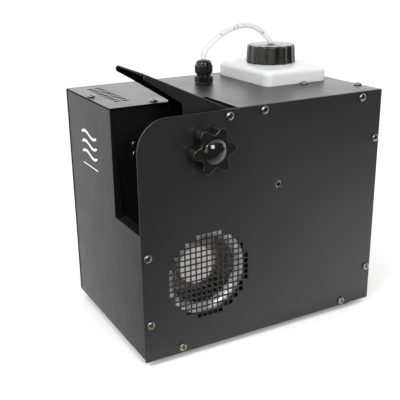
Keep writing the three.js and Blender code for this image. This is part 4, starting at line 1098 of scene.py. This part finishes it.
piece("gland_hex_body", gland_mesh(), "gland_nylon", "case", "gland_body",
      sharp=30, weighted=True)
piece("gland_dome_nut", dome_nut_mesh(), "gland_nylon", "case", "gland_nut",
      sharp=34)
lock_nut = plate("z", hex_loop(20, 6, 0.8), 242.6, 248.2, [circle(GLAND_X, GLAND_Y, 7.9, 48)],
                 bevel=0.4, steps=3)
piece("gland_lock_nut", assign(lock_nut), "gland_nylon", "case",
      "gland_locknut", weighted=True)

# ----------------------------------------------------------------------------------------- hose
# Two lengths that meet at the top of the arc, the first through the gland, the second down into the
# cap.
# Both are cut from one spine, without a kink.
APEX = (-39.3, 53.0, 311.8)
CAP_END = (CAP_X, 90.4, 290.2)
GLAND_SIDE = [
    (-52, 33.4, 46), (-52, 37.5, 46.1), (-51.7, 41.0, 48.2), (-50.4, 42.0, 58),
    (-46.5, 26, 84), (-42.2, 6.5, 118), (GLAND_X, GLAND_Y, 150), (GLAND_X, GLAND_Y, 190),
    (GLAND_X, GLAND_Y, 215), (GLAND_X, GLAND_Y, 240), (GLAND_X, GLAND_Y, 262),
    (GLAND_X, GLAND_Y, 278), (-40.6, 1.6, 285), (-40.3, 11, 294.2), (-40, 22, 302.4),
    (-39.8, 32.5, 307.2), (-39.5, 42, 310.2), APEX,
]
CAP_SIDE = [
    (-39.1, 65, 310.3), (-38.9, 73.6, 306.2), (-38.8, 80.8, 300.8), (-38.7, 87.2, 294.4),
    CAP_END, (CAP_X, CAP_Y, 286.6), (CAP_X, CAP_Y, 280), (CAP_X, CAP_Y, 262),
    (CAP_X, CAP_Y, 200), (CAP_X, CAP_Y, 140), (CAP_X, CAP_Y, 106),
]
ROUTE = spine(GLAND_SIDE + CAP_SIDE)
SPLIT = (len(GLAND_SIDE) - 1) * SPINE_STEPS


def hose(name, sections):
    return piece(name, sweep(sections, 3.0, 32, bore=2.0), "hose_clear", None,
                 "fluid_hose", sharp=60)


def fluid_slug(number, y0, y1, body):
    """A length of fluid in the bore of the arc, with a darker meniscus at each end, a painted
    shade.
    """
    part = [section for section in ROUTE if section[0].z > 290 and y0 <= section[0].y <= y1]
    ends = part[0][0], part[-1][0]
    mesh = assign(sweep(part, 1.93), lambda at: min((at - end).length for end in ends) < 1.0)
    return piece(f"fluid_slug_{number}", mesh, "fog_fluid", body, sharp=60,
                 edge="fluid_meniscus_painted_shade")


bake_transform(hose("hose_gland_side", ROUTE[:SPLIT + 1]))
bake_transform(hose("hose_cap_side", ROUTE[SPLIT:]))
fluid_slug(1, 22.6, 41.3, "bottle")
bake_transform(fluid_slug(2, 43.8, 80.3, None))

# --------------------------------------------------------------------------------------- blower
SCROLL_R, SCROLL_GROWTH = 49.4, 17.6
HOUSING_FACE = 84.0
WHEEL_X0, WHEEL_X1 = 42.0, 76.5
BLADES = 44


def spiral(wall):
    """Scroll wall about the fan axis, its radius growing from 118 to -180 degrees."""
    out = []
    for i in range(97):
        a = 118 - 298 * i / 96
        r = SCROLL_R + SCROLL_GROWTH * (118 - a) / 298 + wall
        out.append((FAN_Y + r * math.cos(math.radians(a)), FAN_Z + r * math.sin(math.radians(a))))
    return out


def housing_mesh():
    mouth_z = CHANNEL_Z - 2 * SHEET - 2 * GAP
    mouth_y = FAN_Y - (SCROLL_R + SCROLL_GROWTH)
    outer, inner = spiral(2), spiral(0)
    back_y, back_z = inner[0]
    solid = prism("x", outer + [(mouth_y - 2, mouth_z), (outer[0][0], mouth_z)], 34, HOUSING_FACE)
    hollow = prism("x", inner + [(mouth_y, mouth_z + 2), (back_y - 2, mouth_z + 2),
                                 (back_y - 2, back_z - 1)], 36, 82)
    mesh = cut(solid, hollow, rod("x", FAN_Y, FAN_Z, 41.5, 80, 85, 96),
               rod("x", FAN_Y, FAN_Z, 16, 33, 38))
    for side in (-1, 1):
        # Leg, then its foot: nearest and farthest y from the axis, top
        for near, far, top in ((27, 30, 34), (28, 42, 4.2)):
            y0, y1 = sorted((FAN_Y + side * far, FAN_Y + side * near))
            mesh = join(mesh, block(38, 80, y0, y1, 2.4, top))
    return mesh


def bell_mouth_mesh():
    e = HOUSING_FACE
    lip = [(47.2, e + GAP), (47.2, e + 2.1), (47.0, e + 2.6)]
    for i in range(25):
        a = PI / 2 * (1 - i / 24)
        lip.append((46.6 - 9.1 * math.cos(a), e - 5.5 + 8.4 * math.sin(a)))
    lip += [(38.9, e - 5.5), (39.1, e - 3), (39.9, e - 0.8), (41.1, e + GAP), (47.2, e + GAP)]
    return lathe("x", FAN_Y, FAN_Z, lip, 144)


def blade_mesh(angle):
    front, back = [], []
    for k in range(9):
        f = k / 8
        r = 37.0 + 8.4 * f
        a = angle + 0.085 * math.sin(f * PI * 0.55) ** 1.5
        for edge, turn in ((front, a), (back, a + 0.5 / r)):
            edge.append((FAN_Y + r * math.cos(turn), FAN_Z + r * math.sin(turn)))
    return prism("x", front + back[::-1], WHEEL_X0 + 0.8, WHEEL_X1 - 0.8)


def wheel_mesh():
    blades = merge(*[blade_mesh(2 * PI * i / BLADES) for i in range(BLADES)])
    x0, x1 = WHEEL_X0, WHEEL_X1
    disc = lathe("x", FAN_Y, FAN_Z, [
        (6, x0), (45.6, x0), (46, x0 + 0.4), (46, x0 + 1.4), (30, x0 + 1.5), (29, x0 + 3.2),
        (23, x0 + 3.2), (22, x0 + 1.5), (6, x0 + 1.5), (6, x0)], 120)
    hoop = lathe("x", FAN_Y, FAN_Z, [
        (43.6, x1 - 2), (46, x1 - 2), (46, x1 - 0.2), (45.8, x1), (43.9, x1), (43.6, x1 - 0.3),
        (43.6, x1 - 2)], 120)
    return join(merge(disc, hoop), blades)


def rotor_mesh():
    base = WHEEL_X0 + 1.8
    profile = [(4.3, base), (20.5, base), (21.3, WHEEL_X0 + 2.6), (21.3, 66.2)]
    for i in range(1, 7):
        a = i / 6 * PI / 2
        profile.append((19.7 + 1.6 * math.cos(a), 66.2 + 1.6 * math.sin(a)))
    profile += [(16.4, 67.8), (16.0, 67.3), (6.2, 67.3), (5.8, 67.9), (3.2, 67.9), (2.8, 67.4),
                (0, 64.0), (4.3, 64.0), (4.3, base)]
    return lathe("x", FAN_Y, FAN_Z, profile, 96)


piece("blower_scroll", housing_mesh(), "blower_housing_dark", "case",
      "blower_housing", sharp=30, weighted=True)
piece("blower_bell_mouth", bell_mouth_mesh(), "bright_steel", "case",
      "blower_inlet_ring", sharp=40)
piece("blower_squirrel_cage", wheel_mesh(), "wheel_galvanised", "fan_wheel",
      "blower_wheel", sharp=30, weighted=True)
piece("blower_rotor_can", rotor_mesh(), "rotor_light", "fan_wheel",
      "blower_rotor", sharp=35)
profile = soft([(0, 28.5, 0), (22, 28.5, 0.8), (22, 33.7, 0.3), (15.5, 33.7, 0), (15.5, 37, 0.4),
                (4, 37, 0), (4, 62, 0.5), (0, 62, 0)])
piece("blower_motor_core", lathe("x", FAN_Y, FAN_Z, profile), "motor_steel",
      "case", "blower_motor")

# ---------------------------------------------------------------- heater, nozzle, pump, pipework
NOZZLE_Y, NOZZLE_Z = -110.6, 206


def nozzle_mesh():
    wall = CHANNEL_WALL
    flange = plate("x", rounded(-124, -104, 195.5, 216.5, 3), wall + GAP, wall + 1.6,
                   [circle(y, z, 1.85, 24) for y, z in NOZZLE_SCREWS], bevel=0.25, steps=3)
    tube = lathe("x", NOZZLE_Y, NOZZLE_Z, [
        (0, 22.3), (6.2, 22.3), (6.2, wall + 2.2), (5.4, wall + 3), (0, wall + 3)])
    bore = lathe("x", NOZZLE_Y, NOZZLE_Z, [
        (0, 20), (2.4, 20), (2.4, wall + 2.2), (3.2, wall + 3.6), (0, wall + 3.6)], 48)
    return assign(cut(join(flange, tube), bore))


cad_piece("heater_body", "heater_block", "heater_aluminium", 0.5, 3)
# The nozzle flange, inside the channel, takes the channel's painted shade.
piece("nozzle_flange", nozzle_mesh(), "channel_painted_shade", "case", "outlet_nozzle",
      sharp=30, weighted=True)
cad_piece("pump_body", "fluid_pump", "pump_plastic", 0.3)
PIPE_PATH = [
    (-52, -36.4, 46), (-52, -46, 46), (-54, -62, 50), (-68, -84, 70), (-84, -104, 110),
    (-87, -110.6, 150), (-87, -110.6, 180), (-84, -110.6, 189), (-79, -110.6, 190),
    (-66, -110.6, 190),
]
piece("copper_pressure_pipe", sweep(spine(PIPE_PATH), 1.6, 20), "copper_pipe", "case",
      "pressure_line", sharp=50)

# -------------------------------------------------------------------- rear panel: display, keys
KEY_X0, KEY_PITCH, KEY_Z = 38, 12, 186

cad_piece("control_board_fr4", "control_board", "board_green", 0.15, 1)
pane = plate("y", rounded(34, 78, 204.5, 225.5, 1.0, 4), 142.7, BACK - SHEET - GAP, bevel=0.2)
piece("display_pane", pane, "window_red", "case", "display_window", weighted=True)
for i, name in enumerate(["menu", "down", "up", "enter"]):
    profile = [(0, 137.2), (2.2, 137.2), (2.2, 141.4), (4.6, 141.4), (4.8, 141.6), (4.8, 143.0),
               (4.6, 143.2), (3.5, 143.2)]
    for k in range(9):
        a = k / 8 * PI / 2
        profile.append((2.9 + 0.6 * math.cos(a), BACK + 1.6 + 0.55 * math.sin(a)))
    profile.append((0, BACK + 2.25))
    piece(f"key_{name}", lathe("y", KEY_X0 + i * KEY_PITCH, KEY_Z, profile, 48), "foot_rubber",
          f"key_{name}", f"button_{name}", sharp=40)

# ------------------------------------------------------------------- rear panel: signal sockets
SOCKET_Z, SOCKET_R = 147, 11.8
SOCKET_IN_X, SOCKET_OUT_X = 38, 74


def pin_places(x):
    """The three contacts on a circle about the socket's axis."""
    angles = [PI * (5 - 4 * k) / 6 for k in range(3)]
    return [(x + 4.3 * math.cos(a), SOCKET_Z - 4.3 * math.sin(a)) for a in angles]


def socket_flange(x):
    outline = rounded(x - 13, x + 13, SOCKET_Z - 15.5, SOCKET_Z + 15.5, 3)
    return plate("y", outline, BACK + GAP, BACK + 2.3, bevel=0.4, steps=3)


def flange_holes(x):
    profile = [(0, BACK - 1), (1.6, BACK - 1), (1.6, BACK + 1.3), (2.9, BACK + 2.6),
               (0, BACK + 2.6)]
    return merge(*[lathe("y", x + 9.5 * s, SOCKET_Z + 12 * s, profile, 32) for s in (1, -1)])


def signal_in_mesh():
    """Open well with three standing pins."""
    x = SOCKET_IN_X
    well = lathe("y", x, SOCKET_Z, [
        (0, BACK - 13), (9.4, BACK - 13), (9.4, BACK + 1.9), (9.9, BACK + 2.6),
        (0, BACK + 2.6)], 72)
    barrel = rod("y", x, SOCKET_Z, SOCKET_R, 124, BACK + 1, 72)
    mesh = cut(join(socket_flange(x), barrel), well, flange_holes(x))
    pin = [(0, BACK - 14), (1.2, BACK - 14), (1.2, BACK - 0.3), (0.7, BACK + 0.4),
           (0, BACK + 0.5)]
    mesh = join(mesh, *[lathe("y", *place, pin, 24) for place in pin_places(x)])
    return assign(mesh, lambda at: at.y > BACK - 12.95 and any(
        math.hypot(at.x - px, at.z - pz) < 1.25 for px, pz in pin_places(x)))


def signal_out_mesh():
    """Filled face with three countersunk contact holes."""
    x = SOCKET_OUT_X
    barrel = lathe("y", x, SOCKET_Z, [
        (0, 124), (SOCKET_R, 124), (SOCKET_R, BACK + 2.6), (11.3, BACK + 3.1),
        (0, BACK + 3.1)], 72)
    hole = [(0, BACK - 12), (1.7, BACK - 12), (1.7, BACK + 2.5), (2.3, BACK + 3.4),
            (0, BACK + 3.4)]
    contacts = merge(*[lathe("y", *place, hole, 32) for place in pin_places(x)])
    return assign(cut(join(socket_flange(x), barrel), contacts, flange_holes(x)))


piece("signal_in", signal_in_mesh(), "black_nylon", "case",
      "signal_in_socket", edge="contact_nickel")
piece("signal_out", signal_out_mesh(), "black_nylon", "case",
      "signal_out_socket", weighted=True)

# ----------------------------------------------------------------- rear panel: switch and mains
SWITCH_Z = 97
MAINS_PINS = ((55, 56), (48, 50), (62, 50))  # left x, lower z
PIN_WIDTH, PIN_HEIGHT = 2, 4.4


def switch_frame_mesh():
    z = SWITCH_Z
    mesh = plate("y", rounded(43.7, 68.3, z - 10.6, z + 10.6, 1.5, 6), BACK + GAP, BACK + 2.1,
                 bevel=0.5, steps=4)
    mesh = join(mesh, block(45.8, 66.2, 126, BACK + 1, z - 8.5, z + 8.5))
    return assign(cut(mesh, block(47.6, 64.4, 133, BACK + 4, z - 7.6, z + 7.6)))


def rocker_mesh():
    """Round back and dished face in (y, z), tipped about the rocker's axis."""
    pivot = BACK - 3.4
    angles = [PI / 2 + k / 24 * PI for k in range(25)]
    outline = [(pivot + 6.2 * math.cos(a), SWITCH_Z + 6.2 * math.sin(a)) for a in angles]
    outline.append((pivot + 3.2, SWITCH_Z - 6.3))
    for k in range(13):
        f = -1 + 2 * k / 12
        outline.append((pivot + 4.7 + 1.4 * f * f, SWITCH_Z + 5.6 * f))
    outline.append((pivot + 3.2, SWITCH_Z + 6.3))
    tip = math.radians(9)
    outline = [(pivot + (y - pivot) * math.cos(tip) - (z - SWITCH_Z) * math.sin(tip),
                SWITCH_Z + (y - pivot) * math.sin(tip) + (z - SWITCH_Z) * math.cos(tip))
               for y, z in outline]
    return assign(plate("x", outline, 48, 64, bevel=0.35, steps=3))


def mains_inlet_mesh():
    mesh = plate("y", rounded(39, 73, 27, 77, 2.5), BACK + GAP, BACK + 2.6, bevel=0.6, steps=4)
    mesh = join(mesh, block(42.5, 69.5, 118, BACK + 1, 32, 72))
    well = [(44.4, 46.5), (67.6, 46.5), (67.6, 58.5), (63.6, 62.5), (48.4, 62.5), (44.4, 58.5)]
    well = prism("y", soft([(x, z, 0.8) for x, z in well]), BACK - 14, BACK + 4)
    mesh = cut(mesh, well, block(45, 67, 126, BACK + 4, 34.5, 42.5))
    for x, z in MAINS_PINS:
        outline = rounded(x, x + PIN_WIDTH, z, z + PIN_HEIGHT, 0.3, 2)
        mesh = join(mesh, plate("y", outline, BACK - 15, BACK - 1, bevel=0.3))
    return assign(mesh, lambda at: at.y > BACK - 13.95 and any(
        x - 0.05 <= at.x <= x + PIN_WIDTH + 0.05 and z - 0.05 <= at.z <= z + PIN_HEIGHT + 0.05
        for x, z in MAINS_PINS))


piece("switch_frame", switch_frame_mesh(), "black_nylon", "case",
      "power_switch_body", sharp=30, weighted=True)
piece("rocker_key", rocker_mesh(), "knob_cap_gloss", "rocker",
      "power_switch_rocker", sharp=40, weighted=True)
piece("mains_inlet", mains_inlet_mesh(), "black_nylon", "case", "power_inlet",
      edge="contact_nickel", sharp=30)
cad_piece("fuse_tray", "fuse_drawer", "black_nylon", 0.3, 3, body="fuse")

# ------------------------------------------------------------------------- feet and front print
FOOT = [  # radius, z
    (0, -6.6), (3.4, -6.6), (3.6, -6.8), (3.6, -7.8), (4.0, FOOT_BOTTOM), (8.2, FOOT_BOTTOM),
    (8.75, -7.75), (9.0, -7.2), (10.9, -0.1), (10.9, 0.1), (10.7, 0.3), (3, 0.3), (3, 2.4),
    (4.2, 2.4), (4.2, 2.7), (2.2, 7.0), (1.6, 7.1), (0, 7.1),
]
for name, x, y in FEET:
    piece(f"rubber_foot_{name}", lathe("z", x, y, FOOT, 72), "foot_rubber", "case",
          f"foot_{name}", sharp=38)

MARK_X0, MARK_X1 = -54, -10


def wave_outline(middle_z, swing=2.6, width=3.0, steps=72):
    """One wave across the mark, tapered at both ends."""
    upper, lower = [], []
    for i in range(steps + 1):
        f = i / steps
        taper = max(0.35, min(1.0, f / 0.08, (1 - f) / 0.08) ** 0.5)
        x = MARK_X0 + (MARK_X1 - MARK_X0) * f
        z = middle_z + swing * math.sin(2 * PI * f)
        upper.append((x, z + width / 2 * taper))
        lower.append((x, z - width / 2 * taper))
    return upper + lower[::-1]


# Three wavy fog lines over a straight one.
marks = [wave_outline(z) for z in (210, 199, 188)]
marks.append(rounded(MARK_X0, MARK_X1, 174.4, 175.6, 0.5, 3))
piece("front_mark", merge(*[prism("y", mark, FRONT - 0.05, FRONT) for mark in marks]),
      "white_print", "case", sharp=30)

# --------------------------------------------------------------------------- floor (in metres)
FLOOR_Z = row(0, 0, FOOT_BOTTOM).z
FLOOR_R = 40.0


def add_floor():
    """A disc whose rings grow wider outwards."""
    z = FLOOR_Z - 0.0002
    mesh = bmesh.new()
    middle = mesh.verts.new((0, 0, z))
    inner = None
    for k in range(1, 9):
        ring = [mesh.verts.new(p) for p in at_height(circle(0, 0, FLOOR_R * (k / 8) ** 3, 64), z)]
        for i in range(64):
            j = (i + 1) % 64
            if inner is None:
                mesh.faces.new((middle, ring[i], ring[j]))
            else:
                mesh.faces.new((inner[i], ring[i], ring[j], inner[j]))
        inner = ring
    data = bpy.data.meshes.new("studio_floor")
    mesh.to_mesh(data)
    mesh.free()
    floor = bpy.data.objects.new("studio_floor", data)
    data.materials.append(FINISH["floor_paper"])
    bpy.context.scene.collection.objects.link(floor)


# ----------------------------------------------------------------------------- world and lights
def set_world():
    """White sky: even for most rays, brighter towards the horizon in reflections."""
    world = bpy.data.worlds.new("studio")
    bpy.context.scene.world = world
    world.use_nodes = True
    tree = world.node_tree
    direction = add_node(tree, "TexCoord").outputs["Generated"]
    height = add_node(tree, "SeparateXYZ", {"Vector": direction}).outputs["Z"]
    reflected = add_node(tree, "MapRange", {"From Min": 0.0, "From Max": 0.8, "To Min": 2.55,
                                            "To Max": 0.9, "Value": height})
    glossy = add_node(tree, "LightPath").outputs["Is Glossy Ray"]
    strength = add_node(tree, "Mix", {"Factor": glossy, "A": 1.16,
                                      "B": reflected.outputs["Result"]}, data_type="FLOAT")
    feed(tree.nodes["Background"], {"Strength": strength.outputs["Result"],
                                    "Color": (1, 1, 1, 1)})


def area_light(name, at, target, size, power):
    data = bpy.data.lights.new(name, "AREA")
    data.shape = "RECTANGLE"
    data.size = size
    data.size_y = size
    data.energy = power
    light = bpy.data.objects.new(name, data)
    bpy.context.scene.collection.objects.link(light)
    light.location = at
    light.rotation_mode = "QUATERNION"
    light.rotation_quaternion = (Vector(target) - Vector(at)).to_track_quat("-Z", "Y")


def card(name, corners, shade):
    """A glowing sheet that only reflections see; returns its emission node."""
    data = bpy.data.meshes.new(name)
    data.from_pydata(corners, [], [(0, 1, 2, 3)])
    sheet = bpy.data.objects.new(name, data)
    bpy.context.scene.collection.objects.link(sheet)
    glow = bpy.data.materials.new(name)
    glow.use_nodes = True
    tree = glow.node_tree
    tree.nodes.clear()
    emission = add_node(tree, "Emission", {"Color": (shade, shade, shade, 1)})
    add_node(tree, "OutputMaterial", {"Surface": emission.outputs["Emission"]})
    data.materials.append(glow)
    sheet.visible_camera = False
    sheet.visible_diffuse = False
    sheet.visible_shadow = False
    sheet.visible_transmission = False
    return emission


def paper(name, x0, x1, y0, y1, base, slope_x, slope_y, limits):
    """Card on the floor of brightness base + slope_x x + slope_y y, level beyond y = 0.4."""
    emission = card(name, at_height([(x0, y0), (x1, y0), (x1, y1), (x0, y1)], FLOOR_Z + 0.0006),
                    shade=1)
    tree = emission.id_data
    place = add_node(tree, "TexCoord").outputs["Object"]
    place = add_node(tree, "SeparateXYZ", {"Vector": place}).outputs
    capped = add_node(tree, "Math", {0: place["Y"], 1: 0.40}, operation="MINIMUM")
    along_y = add_node(tree, "Math", {0: capped.outputs[0], 1: slope_y, 2: base},
                       operation="MULTIPLY_ADD")
    total = add_node(tree, "Math", {0: place["X"], 1: slope_x, 2: along_y.outputs[0]},
                     operation="MULTIPLY_ADD")
    clamped = add_node(tree, "Clamp", {"Min": limits[0], "Max": limits[1],
                                       "Value": total.outputs[0]})
    feed(emission, {"Strength": clamped.outputs["Result"]})


add_floor()
set_world()
area_light("key_left", at=(0.55, -0.95, 1.05), target=(0.02, -0.03, 0.14), size=0.35, power=9)
area_light("key_right", at=(1.25, -0.15, 0.75), target=(0.08, -0.06, 0.10), size=0.45, power=9)
# A dark upright flag on the right, and paper that dims away from the case.
low = FLOOR_Z + 0.002
card("flag_right", [(1.5, -1.2, low), (1.5, 4.0, low), (1.5, 4.0, 1.6), (1.5, -1.2, 1.6)],
     shade=0.02)
paper("paper_right", x0=0.11, x1=1.5, y0=-1.2, y1=4.0, base=1.60, slope_x=-3.65, slope_y=3.0,
      limits=(0.02, 1.7))
paper("paper_front", x0=-2.2, x1=0.105, y0=-2.2, y1=-0.149, base=1.80, slope_x=-2.7,
      slope_y=6.75, limits=(0.30, 1.25))

# --------------------------------------------------------------------------------------- camera
CAMERA_AT = (670.477197, -394.550942, 395.04234)  # in the case's frame
CAMERA_RIGHT = (0.482815, 0.875632, -0.012541)
CAMERA_UP = (-0.286274, 0.17135, 0.942701)
CAMERA_BACK = (0.827609, -0.451561, 0.333402)

camera_data = bpy.data.cameras.new("camera")
camera_data.sensor_width = 36.0
camera_data.lens = 63.7863747
camera_data.clip_start = 0.01
camera_data.clip_end = 100
camera = bpy.data.objects.new("camera", camera_data)
bpy.context.scene.collection.objects.link(camera)
turned = Matrix((CAMERA_RIGHT, CAMERA_UP, CAMERA_BACK)).transposed().to_4x4()
camera.matrix_world = Matrix.Translation(row(*CAMERA_AT)) @ turned
bpy.context.scene.camera = camera
bpy.context.scene.view_settings.view_transform = "Standard"
bpy.context.scene.view_settings.look = "None"
